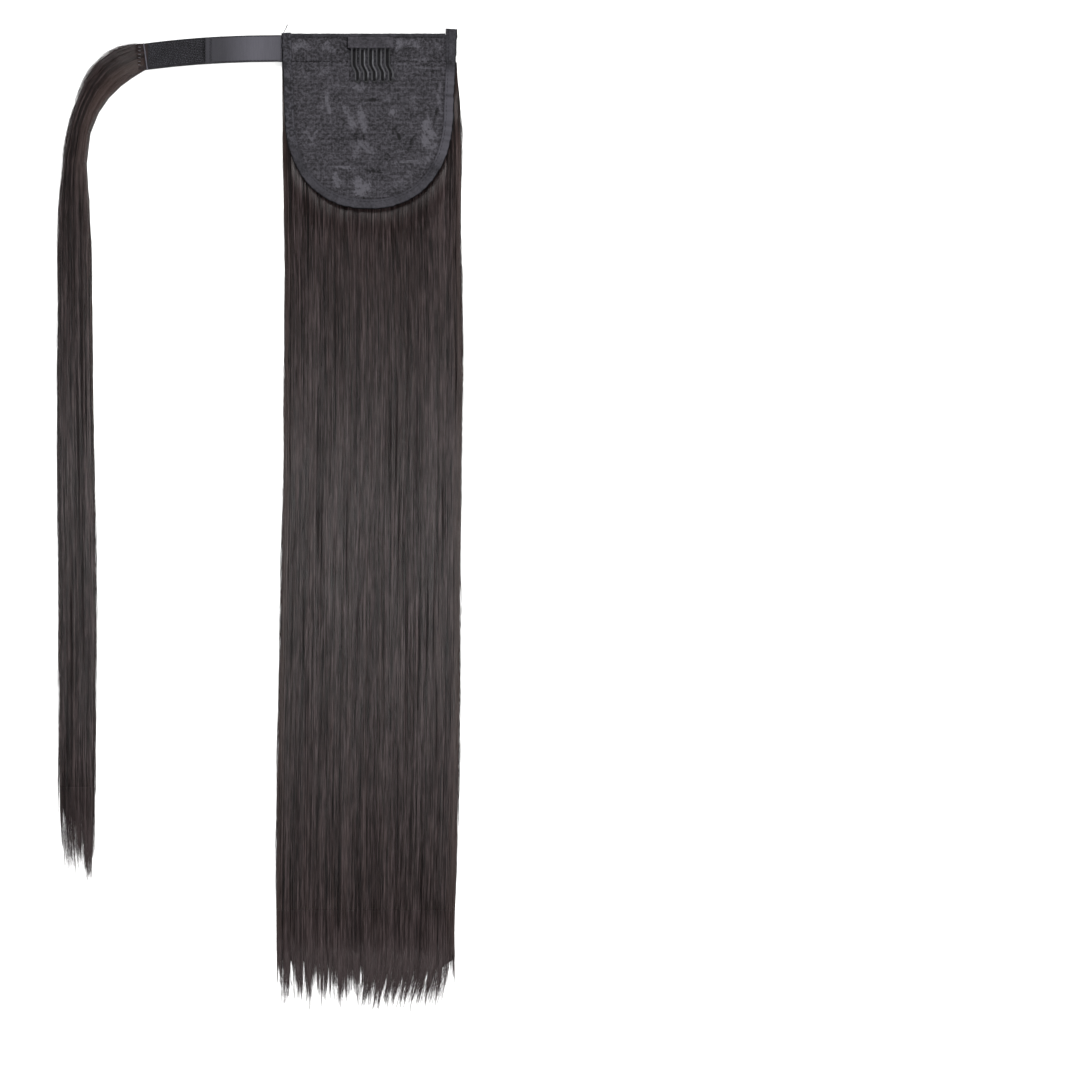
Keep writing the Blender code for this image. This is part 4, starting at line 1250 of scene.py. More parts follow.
def build_fall(look, body_finish, strand_finish):
    """The fall: its mass, its loose strands in three pieces, and its stray hairs."""
    shape = Fall()
    mass = hair_mass("fall_mass", shape, end=0.960, columns=150, stations=70, cover=0.0011,
                     finish=body_finish)
    settle(mass, "hair_fibre", "hair_fall")
    rng = np.random.default_rng(21)
    partings = random_partings(rng, 110, width=0.008, depth=0.0011, longest=0.16)
    tufts = Tufts(FALL_TUFTS, rng)
    parts = lay_strands(shape, rng, look.fall_strands, FALL_STATIONS, tufts, partings, look)
    hair_pieces(("fall_strands_1", "fall_strands_2", "fall_strands_3"), parts,
                strand_finish)
    rng = np.random.default_rng(22)
    wisps = lay_wisps(shape, rng, FALL_WISPS, stations=8, radius=0.00010)
    hair_pieces(("fall_wisps",), wisps, strand_finish)


def build_wrap(look, body_finish, strand_finish):
    """The strand that wraps round: its mass, its loose strands and its stray hairs."""
    shape = Wrap()
    mass = hair_mass("wrap_mass", shape, end=0.942, columns=70, stations=120, cover=0.0012,
                     finish=body_finish)
    settle(mass, "hair_fibre", "wrap_strand")
    rng = np.random.default_rng(31)
    past_bend = 0.16
    scattered = random_partings(rng, 34, width=0.035, depth=0.0008, longest=0.22)
    scattered = [parting for parting in scattered if parting[1] > past_bend]
    tufts = Tufts(STRAND_TUFTS, rng)
    parts = lay_strands(shape, rng, look.wrap_strands, WRAP_STATIONS, tufts,
                        list(STRAND_PARTINGS) + scattered, look)
    # Near the bend the strand's inner side is warmer and paler, and its outer side darker
    _, _, tint, flow = parts
    along = tint[..., 2]
    across = flow[..., 0] / shape.half_width(along)
    inner = smoothstep(across, -0.05, 0.35)
    bend = 1.0 - smoothstep(along, 0.12, 0.26)
    warm = bend * (0.15 + 0.70 * inner) * tint[..., 3] ** 2
    tint[..., 1] = np.maximum(tint[..., 1], warm)
    tint[..., 0] *= 1.0 - 0.28 * bend * (1.0 - inner) - 0.20 * (along < 0.05)
    pale = smoothstep(along, 0.05, 0.09) * bend * smoothstep(across, 0.30, 0.60)
    tint[..., 0] = np.clip(tint[..., 0] + 0.50 * pale * (tint[..., 0] > 0.40), 0.0, 1.0)
    hair_pieces(("wrap_strands",), parts, strand_finish)
    rng = np.random.default_rng(32)
    wisps = lay_wisps(shape, rng, WRAP_WISPS, stations=7, radius=0.00008)
    hair_pieces(("wrap_wisps",), wisps, strand_finish)


# Cloth

def stitches_piece(name, ends, radius, finish, rise=0.00018, stations=5):
    """Stitches as small arched threads. ends: (stitches, 2, 3), start and end points."""
    ends = np.asarray(ends, float)
    share = np.linspace(0.0, 1.0, stations)[None, :, None]
    paths = ends[:, :1] + (ends[:, 1:] - ends[:, :1]) * share
    paths[..., 2] += rise * np.sin(np.pi * share[..., 0]) - radius * 0.4
    radii = np.full(paths.shape[:2], radius)
    radii[:, (0, -1)] *= 0.6
    return strands_piece(name, paths, radii, finish, flatness=1.0)


def running_stitches(points, length, gap):
    """Start and end points of stitches along a line of points."""
    points = np.asarray(points, float)
    gone = gone_by(points)
    starts = np.arange(gap, gone[-1] - length, length + gap)
    return np.stack([np.stack([np.interp(at, gone, points[:, i]) for i in range(3)], axis=-1)
                     for at in (starts, starts + length)], axis=1)


# Left, right, low and high edge of the patch of lace that gets the comb's painted shadow
COMB_PAINTED_SHADOW = (-0.0150, 0.0170, -0.0250, -0.0010)
# Where the painted shadow stripe inside each tooth lies, from the tooth's middle
COMB_SHADOW_STRIPE = -0.0001


def motif_mask(x, y):
    """The lace's solid petals and leaves (above zero) and open holes (below zero), and how
    much painted shadow of the comb each place gets; that shadow also darkens the mask."""
    mask = np.zeros_like(x)
    ragged = ripples(43, ((0.0041, 0.0063), (0.0027, -0.0035), (0.0058, -0.0029),
                          (0.0019, 0.0045), (0.0023, -0.0017)), x, y)
    for middle_x, middle_y, length, width, turn, solid in LACE_MOTIFS:
        dx = x - middle_x / 1000.0
        dy = y - middle_y / 1000.0
        angle = math.radians(turn)
        run = (dx * math.cos(angle) + dy * math.sin(angle)) * 1000.0 / length
        off = (-dx * math.sin(angle) + dy * math.cos(angle)) * 1000.0 / width
        inside = 1.0 - 0.76 * np.hypot(run, off) + 0.55 * ragged
        share = smoothstep(inside, -0.10, 0.55)
        mask = np.maximum(mask, solid * share) if solid > 0 else mask + solid * share
    # The comb's painted shadow: a patch that darkens the lace under the comb
    left, right, low, high = COMB_PAINTED_SHADOW
    painted_shading = smoothstep(x, left, left + 0.002) * smoothstep(-x, -right, -right + 0.002) \
        * smoothstep(y, low, low + 0.004) * smoothstep(-y, -high, -high + 0.001)
    return np.clip(mask - 0.14 * painted_shading, -1.0, 1.0), painted_shading


def comb_shadow_stripes(x, y):
    """Count of comb teeth from the left, whole in the painted shadow stripe inside each tooth.
    """
    down = (COMB_SPINE_LINE - y) / (COMB_TOOTH_LENGTH - COMB_TOOTH_WIDTH / 2)
    bent = x - COMB_KINK * smoothstep(down, 0.54, 0.82)
    return (bent - COMB_SHIFT - COMB_SHADOW_STRIPE) / COMB_PITCH + COMB_TEETH


# Distance between the rows of hair sewn to the lace
WEFT_PITCH = 0.0036


def weft_rows(x, y):
    """Share of each sewn weft row under the lace; none over the band."""
    wavy = y + 0.0005 * ripples(41, ((0.05, 0.09), (0.021, -0.05)), x, y)
    row = 0.5 + 0.5 * np.cos(2 * np.pi * wavy / WEFT_PITCH)
    return row ** 1.5 * smoothstep(-y, BAND_EDGE, BAND_EDGE + 0.002)


def build_lace(look, finish):
    """The lace net, with its sewn rows, motifs and the comb's painted shadow kept at its
    points.
    """
    inset = BINDING_SKIRT + CLEAR
    columns, straight, bend = 136, 62, 84
    depth = np.concatenate([
        np.linspace(0.0, CAP_SIDE_DEPTH, straight, endpoint=False),
        CAP_SIDE_DEPTH + (CAP_ROUND_DEPTH - inset) * 0.985
        * np.sin(np.linspace(0.0, np.pi / 2, bend))])
    y = (BAND_EDGE - depth)[:, None]
    x = cap_half(y, inset) * np.linspace(-1.0, 1.0, columns)[None, :]
    y = np.broadcast_to(y, x.shape)
    motif, painted_shading = motif_mask(x, y)
    gaps = comb_shadow_stripes(x, y)
    rows = weft_rows(x, y)
    pucker = ripples(42, ((0.017, 0.029), (0.011, -0.019), (0.031, 0.013), (0.006, 0.03)), x, y)
    grain = np.random.default_rng(44).random(x.shape)
    grain = (grain + np.roll(grain, 1, axis=0) + np.roll(grain, 1, axis=1)) / 3
    relief = 0.30 * rows + 0.25 * np.maximum(motif, 0.0) + 0.20 * (0.5 + 0.5 * pucker) \
        + 0.55 * (grain - 0.25)
    thick = 0.0003
    base = pile_top(x, y) + CLEAR
    top = base + thick + 0.00040 + look.lace_relief * relief
    values = [(label, "FLOAT", np.concatenate([grid, grid[:, ::-1]], axis=1).ravel())
              for label, grid in (("motif", motif), ("weft", rows), ("painted_comb_stripes", gaps),
                                  ("painted_comb_shadow", painted_shading))]
    lace = lofted_piece("lace_net", sheet_rings(x, y, top, top - thick), finish, values)
    settle(lace, "lace_net", "net_cap")


# Binding's cross-section, from its inner edge over the top and round to its skirt.
# inward: share of the width. lift: share of its thickness above the net's rim.
BINDING_PROFILE = (
    (1.00, -0.05), (1.00, 0.30), (0.97, 0.62), (0.90, 0.84), (0.80, 0.92), (0.74, 0.80),
    (0.68, 0.94), (0.50, 1.00), (0.30, 0.98), (0.15, 0.90), (0.05, 0.66), (0.00, 0.30),
    (-0.02, -0.20), (-0.02, -0.90), (0.02, -1.40), (0.08, -1.45), (0.12, -1.20),
    (0.13, -0.05),
)


def binding_point(point, outward, width, inward, lift):
    x = point[:, 0] - outward[:, 0] * width * inward
    y = point[:, 1] - outward[:, 1] * width * inward
    rim = CLEAR + NET_THICK + CLEAR
    return np.stack([x, y, pile_top(x, y) + rim + lift], axis=-1)


def build_binding(cloth, thread):
    """The folded tape round the cap's edge, painted paler low on its right side as a painted
    light, and thin on its left, with its stitches and the dark cord along its rim, which is
    partly a painted shadow line."""
    points, outward, gone = cap_outline(330)
    top = BAND_EDGE + BINDING_TAIL_RIGHT
    flare = np.where(points[:, 0] > 0,
                     np.clip(1.0 - (top - points[:, 1]) / BINDING_FLARE_LENGTH, 0.0, 1.0), 0.0)
    pucker = ripples_along(51, (0.0121, 0.0057, 0.031), gone)
    crease = ripples_along(52, (0.0037, 0.0068, 0.0094), gone)
    points = points + outward * (0.00030 * pucker + 0.00016 * crease)[:, None]
    width = BINDING_WIDTH + BINDING_FLARE * flare + 0.00022 * pucker
    swell = 1.0 + (0.10 * pucker + 0.14 * crease)
    rings = [binding_point(points, outward, width, inward,
                           BINDING_THICK * lift * (swell if lift > 0.5 else 1.0))
             for inward, lift in BINDING_PROFILE]
    # Painted light down the right side, a little paler along the bottom, thin down the left
    x, down = points[:, 0], -points[:, 1]
    painted_light_and_thinning = 0.95 * smoothstep(x, 0.030, 0.055) * smoothstep(down, 0.010, 0.024) \
        * (1.0 - smoothstep(down, 0.070, 0.095))
    painted_light_and_thinning = painted_light_and_thinning + 0.28 * smoothstep(down, 0.085, 0.105)
    left = smoothstep(-x, 0.020, 0.050) * (1.0 - smoothstep(down, 0.060, 0.095))
    # The painted light also follows the puckers and creases
    painted_light_and_thinning = painted_light_and_thinning * (0.92 + 0.30 * pucker + 0.45 * crease) - 0.80 * left
    roll = lofted_piece("binding_roll", np.stack(rings, axis=1), cloth,
                        [("painted_light_and_thinning", "FLOAT", np.repeat(painted_light_and_thinning, len(rings)))])
    settle(roll, "binding_tape", "cap_binding")

    seam = binding_point(points, outward, width, 0.74, BINDING_THICK * 0.86)
    stitches = running_stitches(seam, length=0.0021, gap=0.0008)
    settle(stitches_piece("binding_stitches", stitches, 0.00014, thread), "weft_thread")
    # The dark cord round the rim is partly an edge thread and partly a painted shadow line
    # along the binding's outer edge
    rim = binding_point(points, outward, width, -0.030, BINDING_THICK * 0.10)
    settle(strands_piece("binding_edge_cord", rim[None], np.full((1, len(rim)), 0.00042),
                         thread, flatness=1.0), "weft_thread")


def build_hem(cloth):
    """The hem over the band's top edge, run on under the binding's left tail."""
    low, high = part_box("top_hem")
    inner, outer = low.y - ROOT_Y, high.y - ROOT_Y
    thick = 0.0006
    profile = ((inner, high.z - thick), (inner + 0.0001, high.z - 0.0002),
               (inner + 0.0004, high.z), (outer - 0.0006, high.z),
               (outer - 0.0002, high.z - 0.0002), (outer, high.z - thick),
               (outer, low.z + 0.0002), (outer - 0.0002, low.z), (outer - thick, low.z),
               (outer - thick, high.z - thick))
    stations = np.linspace(low.x - ROOT_X - 0.0022, high.x - ROOT_X + 0.0002, 90)
    pucker = ripples_along(52, (0.023, 0.0093, 0.0041), stations)
    rings = np.array([[(x, y + 0.00012 * p, z) for y, z in profile]
                      for x, p in zip(stations, pucker)])
    settle(lofted_piece("hem_roll", rings, cloth, sharp_degrees=70), "binding_tape",
           "top_hem")


STRAP_SHARES = np.linspace(-1.0, 1.0, 15)


def strap_ring(x, half, crown, low, high):
    """A ring across the strap at x: a slightly crowned strip with rolled selvedges."""
    top = high + crown * (1.0 - STRAP_SHARES ** 2)
    top[[0, -1]] -= 0.35 * (high - low)
    return sheet_rings(x, strap_line(x) + half * STRAP_SHARES, top, low)


def build_ribbon(finish):
    """The satin ribbon on the inside of the strap, from the hook patch to the cap."""
    stations = np.linspace(HOOK_RIGHT + CLEAR, -CAP_TOP_HALF - CLEAR, 60)
    wave = 0.00016 * ripples_along(61, (0.021, 0.013), stations)
    rings = np.stack([strap_ring(x, BAND_EDGE - 0.0001, 0.00018, ON_TAPE,
                                 ON_TAPE + RIBBON_THICK - 0.0001 + w)
                      for x, w in zip(stations, wave)])
    edge = smoothstep(np.abs(STRAP_SHARES), 0.86, 0.98)
    edge = np.tile(np.concatenate([edge, edge]), len(stations))
    ribbon = lofted_piece("satin_strap", rings, finish, [("selvedge", "FLOAT", edge)])
    settle(ribbon, "satin_ribbon", "strap_ribbon")


HOOK_REACH = 0.00120
HOOK_RISE = 0.00090
HOOK_RADIUS = 0.00016


def build_hooks(look, base_finish, hook_finish):
    """The hook patch: a woven base with rows of bent monofilament hooks."""
    base_top = ON_TAPE + 0.0004
    stations = np.linspace(HOOK_LEFT, HOOK_RIGHT, 42)
    rings = np.stack([strap_ring(x, BAND_EDGE - 0.0001, 0.00005, ON_TAPE, base_top)
                      for x in stations])
    settle(lofted_piece("hook_base", rings, base_finish), "hook_tape", "hook_patch")
    rng = np.random.default_rng(71)
    pitch = look.hook_pitch
    columns = np.arange(HOOK_LEFT + 0.0012, HOOK_RIGHT - 0.0010, pitch)
    lane_pitch = pitch * 0.92
    lanes = np.arange(-BAND_EDGE + 0.0021, BAND_EDGE - 0.0019, lane_pitch)
    x, lane = (grid.ravel() for grid in np.meshgrid(columns, lanes))
    x = x + rng.normal(0.0, 0.00012, x.shape) + (np.round(lane / lane_pitch) % 2) * 0.0005
    y = strap_line(x) + lane + rng.normal(0.0, 0.0001, x.shape)
    heading = np.where(rng.random(x.shape) < 0.5, 0.0, np.pi) + rng.normal(0.0, 0.35, x.shape)
    # How far forward and how high a hook's points lie, in HOOK_REACH and HOOK_RISE
    bend = np.array(((0.0, 0.0), (0.00, 0.42), (0.06, 0.70), (0.28, 0.80), (0.46, 0.66),
                     (0.50, 0.46)))
    reach = bend[:, 0] * HOOK_REACH
    paths = np.stack([x[:, None] + np.cos(heading)[:, None] * reach,
                      y[:, None] + np.sin(heading)[:, None] * reach,
                      base_top - 0.00005 + (HOOK_RISE * bend[:, 1])[None, :]
                      * rng.uniform(0.8, 1.0, x.shape)[:, None]], axis=-1)
    radii = np.full(paths.shape[:2], HOOK_RADIUS)
    settle(strands_piece("hook_field", paths, radii, hook_finish, flatness=1.0), "hook_tape")


def zigzag(x_low, x_high, y_low, y_high, z, count):
    """Zigzag stitches up a line across the strap."""
    y = np.linspace(y_low, y_high, count + 1)
    x = np.where(np.arange(count + 1) % 2 == 0, x_low, x_high)
    points = np.stack([x, y + strap_line(x), np.full(count + 1, z)], axis=-1)
    return np.stack([points[:-1], points[1:]], axis=1)


def build_strap_sewing(dark):
    """Zigzags where the hook patch meets the ribbon, and running stitches along both of
    the ribbon's edges and where it meets the cap."""
    edge = BAND_EDGE - 0.0012
    joins = [zigzag(HOOK_RIGHT - 0.0016, HOOK_RIGHT + 0.0012, -edge, edge,
                    ON_TAPE + 0.0010, 16),
             zigzag(HOOK_RIGHT + 0.0034, HOOK_RIGHT + 0.0054, -edge, edge,
                    ON_TAPE + RIBBON_THICK, 14)]
    line = np.array([(x, strap_line(x) - edge - 0.0004, ON_TAPE + RIBBON_THICK)
                     for x in np.linspace(HOOK_RIGHT + 0.006, -CAP_TOP_HALF - 0.001, 30)])
    for up in (0.0, 2 * edge + 0.0008):
        joins.append(running_stitches(line + (0.0, up, 0.0), length=0.0018, gap=0.0008))
    line = np.array([(-CAP_TOP_HALF - 0.0008, y, ON_TAPE + RIBBON_THICK + 0.0001)
                     for y in np.linspace(-BAND_EDGE + 0.0006, BAND_EDGE - 0.0006, 12)])
    joins.append(running_stitches(line, length=0.0016, gap=0.0004))
    settle(stitches_piece("strap_stitches", np.concatenate(joins), 0.00013, dark),
           "weft_thread")


def build_seam(fold_finish, ground_finish, pale):
    """Where the strand is sewn to the strap: a folded edge on a bed of thread."""
    low = ON_TAPE
    y = np.linspace(-BAND_EDGE + 0.0003, BAND_EDGE - 0.0003, 26)
    line = float(strap_line(STRAP_END))
    rings = []
    right = STRAP_END + SEAM_ON_TAPE
    shares = np.linspace(0.0, 1.0, 9)
    for at in y:
        left = STRAP_END - SEAM_ON_HAIR + 0.0003 * math.sin(at * 900.0)
        x = left + (right - left) * shares
        high = low + 0.00050 + 0.00022 * np.sin(np.pi * shares) \
            + 0.00008 * np.sin(2 * np.pi * at / 0.0031)
        high[0] = low + 0.0002
        high[-1] = low + 0.0003
        rings.append(sheet_rings(x, at + line, high, low))
    settle(lofted_piece("seam_bed", np.stack(rings), ground_finish),
           "weft_thread", "strand_seam")
    foot = np.array((STRAP_END + 0.0019, line - BAND_EDGE + 0.0002))
    head = np.array((STRAP_END - 0.0008, line + BAND_EDGE - 0.0002))
    share = np.linspace(0.0, 1.0, 14)[:, None]
    fold = np.concatenate([foot + (head - foot) * share, np.full((14, 1), low + 0.0012)],
                          axis=1)
    settle(strands_piece("seam_fold", fold[None], np.full((1, 14), 0.00060), fold_finish,
                         flatness=0.9), "weft_thread")
    dashes = [((STRAP_END - 0.0048, line + at, low + 0.0020),
               (STRAP_END - 0.0028, line + at - 0.0003, low + 0.0020))
              for at in np.linspace(-0.0062, 0.0066, 6)]
    settle(stitches_piece("seam_stitches", dashes, 0.00030, pale), "weft_thread")


def build_cap_sewing(dark, pale):
    """Rows of stitches over the lace, the sleeve's end stitches and a stray thread."""
    net = CLEAR + NET_THICK

    def on_net(x, y, lift=0.0):
        x, y = np.broadcast_arrays(x, y)
        return np.stack([x, y, pile_top(x, y) + net + lift], axis=-1)

    x = np.linspace(-CAP_TOP_HALF + 0.0030, -0.0235, 40)
    line = on_net(x, -BAND_EDGE - 0.0001 + 0.0002 * np.sin(x * 300), 0.0001)
    rows = [running_stitches(line, length=0.0026, gap=0.0006)]
    x = np.linspace(-0.0235, CAP_TOP_HALF - BINDING_WIDTH, 40)
    line = on_net(x, -BAND_EDGE - 0.0002)
    rows.append(running_stitches(line, length=0.0020, gap=0.0022))
    settle(stitches_piece("band_stitches", np.concatenate(rows), 0.00026, dark),
           "weft_thread")
    left = COMB_SHIFT - SLEEVE_LENGTH / 2
    # A dark flat thread in an L round the sleeve's left end, partly an end stitch and partly a
    # painted shadow line at the sleeve's edge
    corner = np.array([(left - 0.0002, SLEEVE_TOP - 0.0004), (left - 0.0004, 0.0030),
                       (left - 0.0001, -0.0002), (left + 0.0013, -0.0012),
                       (left + 0.0034, -0.0016), (left + 0.0052, -0.0018)])
    mark = on_net(corner[:, 0], corner[:, 1], 0.0005)
    settle(strands_piece("sleeve_end_thread", mark[None],
                         np.array([[.5, .9, .9, .8, .6, .4]]) * 0.0009, dark,
                         flatness=0.5), "weft_thread")
    x = np.linspace(left + 0.0008, left + SLEEVE_LENGTH - 0.0008, 30)
    line = on_net(x, SLEEVE_TOP - 0.0009, 0.0007)
    stitches = running_stitches(line, length=0.0016, gap=0.0009)
    settle(stitches_piece("sleeve_stitches", stitches, 0.00013, dark), "weft_thread")
    share = np.linspace(0.0, 1.0, 9)
    thread = np.stack([-CAP_TOP_HALF + 0.0008 + 0.0030 * share ** 1.4,
                       BAND_EDGE + 0.0008 + 0.0070 * share - 0.001 * np.sin(np.pi * share),
                       0.0052 - 0.0030 * share], axis=-1)
    settle(strands_piece("stray_thread", thread[None],
                         np.linspace(0.00020, 0.00045, 9)[None], pale,
                         flatness=1.0), "weft_thread")


# Painted highlight on each tooth's right leg, left to right
COMB_PAINTED_HIGHLIGHT = (0.25, 0.85, 1.0, 0.70, 0.10)
COMB_SIDES = 12


def build_comb(finish):
    """The comb's wire and spine, with painted shade on each tooth's left leg and a painted
    highlight on its right leg.
    """
    turn = COMB_TOOTH_WIDTH / 2
    straight = COMB_TOOTH_LENGTH - turn
    down = np.linspace(0.0, 1.0, 22)
    kink = smoothstep(down, 0.54, 0.82)
    lift = (COMB_SPINE_DIAMETER - COMB_WIRE_DIAMETER) / 2 * np.clip(1 - down / 0.22, 0.0, 1.0)
    angles = np.linspace(0.0, np.pi, 11)[1:-1]
    route, shine = [], []
    for tooth in range(COMB_TEETH):
        middle = COMB_SHIFT + COMB_PITCH * (tooth - (COMB_TEETH - 1) / 2)
        leg = np.stack([middle - turn + COMB_KINK * kink,
                        COMB_SPINE_LINE - straight * down, lift], axis=1)
        tip = np.stack([middle + COMB_KINK - turn * np.cos(angles),
                        COMB_SPINE_LINE - straight - turn * np.sin(angles),
                        np.zeros_like(angles)], axis=1)
        route += [leg, tip, (leg + (COMB_TOOTH_WIDTH, 0.0, 0.0))[::-1]]
        leg_highlight = smoothstep(down, 0.12, 0.25) * (1.0 - smoothstep(down, 0.88, 1.0))
        leg_highlight = COMB_PAINTED_HIGHLIGHT[tooth] * leg_highlight + (0.5 - COMB_PAINTED_HIGHLIGHT[tooth] / 2) * leg_highlight * kink
        # The left legs keep a low shine, so they are painted darker: a painted shade
        shine += [0.30 + 0.10 * kink, np.zeros(len(tip)), leg_highlight[::-1]]
    route = np.concatenate(route)
    rest = CLEAR + NET_THICK + CLEAR + COMB_WIRE_DIAMETER / 2
    route[:, 2] += pile_top(route[:, 0], route[:, 1]) + rest
    run = np.gradient(route, axis=0)
    run /= np.linalg.norm(run, axis=1, keepdims=True)
    side = np.stack([run[:, 1], -run[:, 0], np.zeros(len(run))], axis=1)
    side /= np.linalg.norm(side, axis=1, keepdims=True)
    up = np.cross(side, run)
    turns = np.linspace(0.0, 2 * np.pi, COMB_SIDES + 1)[:-1]
    level, upward = np.cos(turns), np.sin(turns)
    rings = route[:, None] + COMB_WIRE_DIAMETER / 2 \
        * (level[:, None] * side[:, None] + upward[:, None] * up[:, None])
    shine = np.repeat(np.concatenate(shine), COMB_SIDES)
    wire = lofted_piece("comb_wire", rings, finish, [("shine", "FLOAT", shine)])
    settle(wire, "comb_wire", "comb")
    rise = TAPE_TOP + CLEAR + NET_THICK + CLEAR + COMB_SPINE_DIAMETER / 2
    stations = np.linspace(-0.5, 0.5, 9) * COMB_SPINE_LENGTH + COMB_SHIFT
    spine_radius = COMB_SPINE_DIAMETER / 2
    rings = np.stack(np.broadcast_arrays(
        stations[:, None], COMB_SPINE_LINE + spine_radius * level,
        rise + spine_radius * upward), axis=-1)
    # The spine gets a little painted highlight too
    shine = np.full(len(stations) * COMB_SIDES, 0.2)
    settle(lofted_piece("comb_spine", rings, finish, [("shine", "FLOAT", shine)]),
           "comb_wire")


# Operators

# Area lights: name, place from the view's middle, size, and the setting and share of it
# that powers each
LIGHTS = (
    ("overhead", (-0.05, -0.110, 2.45), (1.5, 0.12), "key_power", 1.0),
    ("softbox_right", (2.00, 0.30, 1.60), (1.0, 1.0), "side_power", 0.55),
    ("softbox_top", (-0.50, 2.10, 1.75), (1.8, 0.9), "side_power", 1.0),
    ("softbox_low", (0.20, -2.20, 1.75), (1.8, 0.9), "side_power", 1.0),
)
FLOOR_HALF = 4.0
# The floor lies this far below zero, so that nothing on it shares its plane
FLOOR_DROP = 0.0002
SENSOR_WIDTH = 36.0


class HAIRPIECE_OT_stage(bpy.types.Operator):
    """Pale floor, soft overhead light and the camera straight above"""

    bl_idname = "hairpiece.stage"
    bl_label = "Stage"

    def execute(self, context):
        look = context.scene.hairpiece_stage
        scene = context.scene
        corners = np.array([(x * FLOOR_HALF, y * FLOOR_HALF, -FLOOR_DROP)
                            for x, y in ((-1, -1), (1, -1), (1, 1), (-1, 1))])
        floor = mesh_piece("floor", corners, [np.array([[0, 1, 2, 3]])], floor_finish(look))
        world = bpy.data.worlds.new("soft_room")
        world.use_nodes = True
        backdrop = world.node_tree.nodes["Background"]
        backdrop.inputs["Color"].default_value = (1.0, 1.0, 1.0, 1.0)
        backdrop.inputs["Strength"].default_value = look.fill
        scene.world = world
        middle = np.array(look.middle)
        for name, place, size, power, share in LIGHTS:
            lamp = bpy.data.lights.new(name, "AREA")
            lamp.shape = "RECTANGLE"
            lamp.size, lamp.size_y = size
            lamp.energy = share * getattr(look, power)
            light = bpy.data.objects.new(name, lamp)
            light.location = middle + place
            light.rotation_euler = (-Vector(place)).to_track_quat("-Z", "Y").to_euler()
            scene.collection.objects.link(light)
        lens = bpy.data.cameras.new("camera")
        lens.lens = look.lens
        lens.sensor_width = SENSOR_WIDTH
        camera = bpy.data.objects.new("camera", lens)
        distance = look.view_width * look.lens / SENSOR_WIDTH
        camera.location = (look.middle[0], look.middle[1], distance)
        scene.collection.objects.link(camera)
        scene.camera = camera
        scene.view_settings.view_transform = "Standard"
        return {"FINISHED"}


class HAIRPIECE_OT_hair(bpy.types.Operator):
    """The fall of hair and the strand that wraps round"""

    bl_idname = "hairpiece.hair"
    bl_label = "Hair"

    def execute(self, context):
        look = context.scene.hairpiece_hair
        body = hair_body_finish(look)
        strand = hair_strand_finish(look)
        build_fall(look, body, strand)
        build_wrap(look, body, strand)
        return {"FINISHED"}


class HAIRPIECE_OT_cap(bpy.types.Operator):
    """The lace net, its binding, hem and stitches"""

    bl_idname = "hairpiece.cap"
    bl_label = "Lace cap"

    def execute(self, context):
        look = context.scene.hairpiece_cap
        strap = context.scene.hairpiece_strap
        cloth = cloth_finish("binding_cloth", look.binding, threads=2400.0, roughness=0.78,
                             grain=0.95, blotch=620.0)
        thread = cloth_finish("dark_thread", look.thread, threads=5200.0, roughness=0.72,
                              grain=0.35, Specular_IOR_Level=0.04)
        pale = cloth_finish("pale_thread", strap.pale_thread, threads=5200.0,
                            roughness=0.60, grain=0.35)
        build_lace(look, lace_finish(look))
        build_binding(cloth, thread)
        build_hem(cloth)
        build_cap_sewing(thread, pale)
        dress("end_fold", cloth)
        return {"FINISHED"}


class HAIRPIECE_OT_strap(bpy.types.Operator):
    """Loop tape, hook patch, satin ribbon, seam and weft track"""

    bl_idname = "hairpiece.strap"
    bl_label = "Strap"

    def execute(self, context):
        look = context.scene.hairpiece_strap
        cap = context.scene.hairpiece_cap
        hair = context.scene.hairpiece_hair
        dark = bpy.data.materials["dark_thread"]
        pale = bpy.data.materials["pale_thread"]
        dress("loop_tape", cloth_finish("loop_pile_cloth", look.pile, threads=1500.0,
                                        roughness=0.92, grain=0.6, slub=2.5,
                                        Sheen_Weight=0.06, Sheen_Roughness=0.5))
        dress("weft_track", cloth_finish("track_thread", cap.binding, threads=1200.0,
                                         roughness=0.80))
        build_ribbon(satin_finish(look))
        base = cloth_finish("hook_cloth", look.hooks, threads=2000.0, roughness=0.70,
                            grain=0.8, blotch=700.0)
        bristle = cloth_finish("hook_bristle", toned(look.hooks, 7.0), threads=3000.0,
                               roughness=0.45, grain=0.9, blotch=420.0)
        build_hooks(look, base, bristle)
        build_strap_sewing(dark)
        bed = cloth_finish("seam_cloth", toned(hair.middle, 1.05), threads=1100.0,
                           roughness=0.7)
        fold = cloth_finish("seam_fold_cloth", toned(look.satin, 2.3), threads=2600.0,
                            roughness=0.6, grain=0.4)
        build_seam(fold, bed, pale)
        return {"FINISHED"}


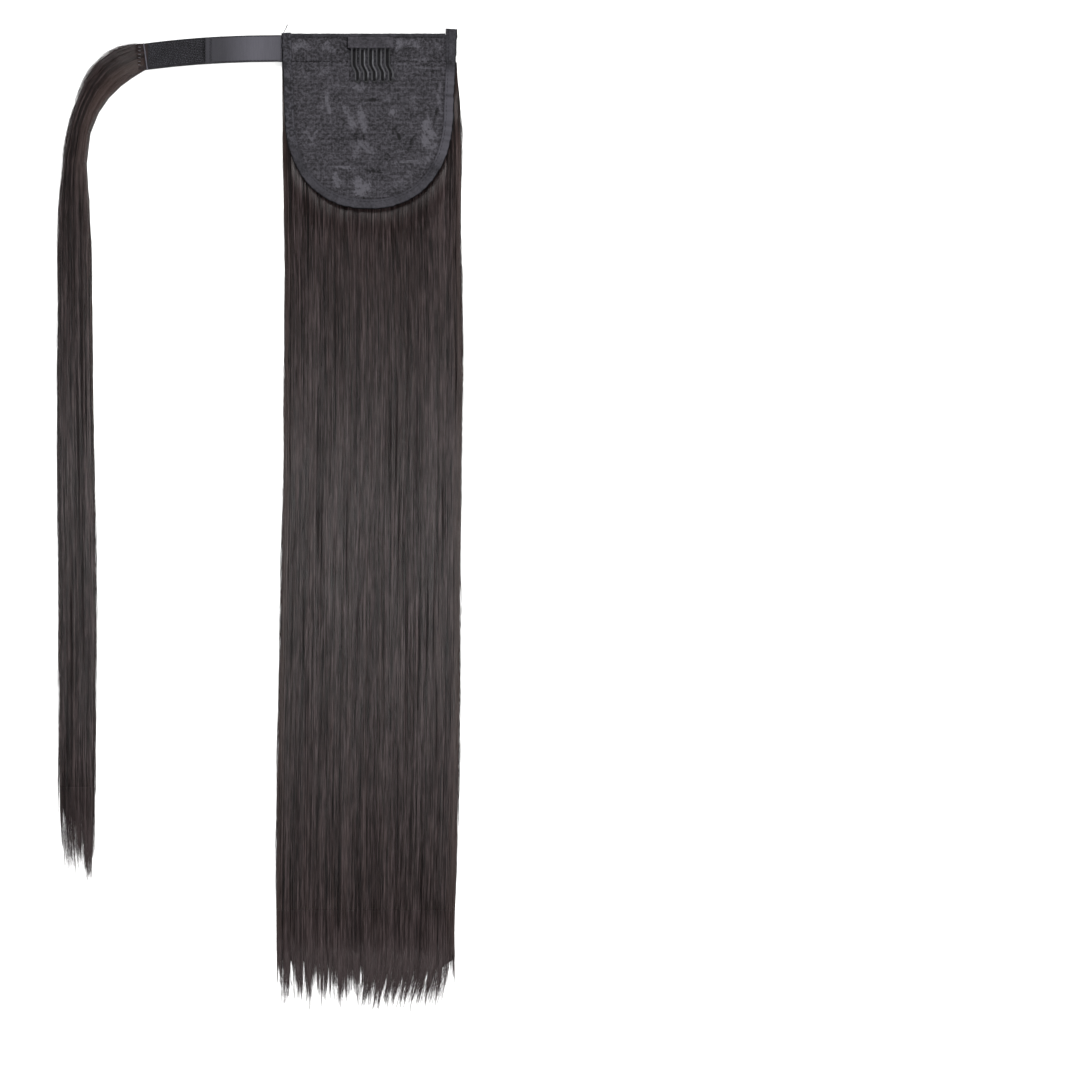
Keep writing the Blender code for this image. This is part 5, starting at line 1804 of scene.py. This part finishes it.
class HAIRPIECE_OT_comb(bpy.types.Operator):
    """The wire comb and the ribbon sleeve over its spine"""

    bl_idname = "hairpiece.comb"
    bl_label = "Comb"

    def execute(self, context):
        look = context.scene.hairpiece_comb
        cap = context.scene.hairpiece_cap
        build_comb(wire_finish(look))
        dress("comb_sleeve", cloth_finish("sleeve_cloth", toned(cap.lace, 0.82),
                                          threads=3600.0, roughness=0.70, grain=0.85,
                                          blotch=520.0))
        return {"FINISHED"}


class HAIRPIECE_PT_panel(bpy.types.Panel):
    """Lists the hairpiece's settings and builders"""

    bl_idname = "HAIRPIECE_PT_panel"
    bl_label = "Ponytail hairpiece"
    bl_space_type = "VIEW_3D"
    bl_region_type = "UI"
    bl_category = "Hairpiece"

    def draw(self, context):
        for name, group, operator in SECTIONS:
            box = self.layout.box()
            settings = getattr(context.scene, name)
            for label in group.__annotations__:
                box.prop(settings, label)
            box.operator(operator.bl_idname)


SECTIONS = (
    ("hairpiece_stage", HAIRPIECE_PG_stage, HAIRPIECE_OT_stage),
    ("hairpiece_hair", HAIRPIECE_PG_hair, HAIRPIECE_OT_hair),
    ("hairpiece_cap", HAIRPIECE_PG_cap, HAIRPIECE_OT_cap),
    ("hairpiece_strap", HAIRPIECE_PG_strap, HAIRPIECE_OT_strap),
    ("hairpiece_comb", HAIRPIECE_PG_comb, HAIRPIECE_OT_comb),
)


def register():
    for name, group, operator in SECTIONS:
        bpy.utils.register_class(group)
        bpy.utils.register_class(operator)
        setattr(bpy.types.Scene, name, PointerProperty(type=group))
    bpy.utils.register_class(HAIRPIECE_PT_panel)


def unregister():
    bpy.utils.unregister_class(HAIRPIECE_PT_panel)
    for name, group, operator in reversed(SECTIONS):
        delattr(bpy.types.Scene, name)
        bpy.utils.unregister_class(operator)
        bpy.utils.unregister_class(group)


def main():
    register()
    bpy.ops.hairpiece.stage()
    bpy.ops.hairpiece.hair()
    bpy.ops.hairpiece.cap()
    bpy.ops.hairpiece.strap()
    bpy.ops.hairpiece.comb()


if __name__ == "__main__":
    main()
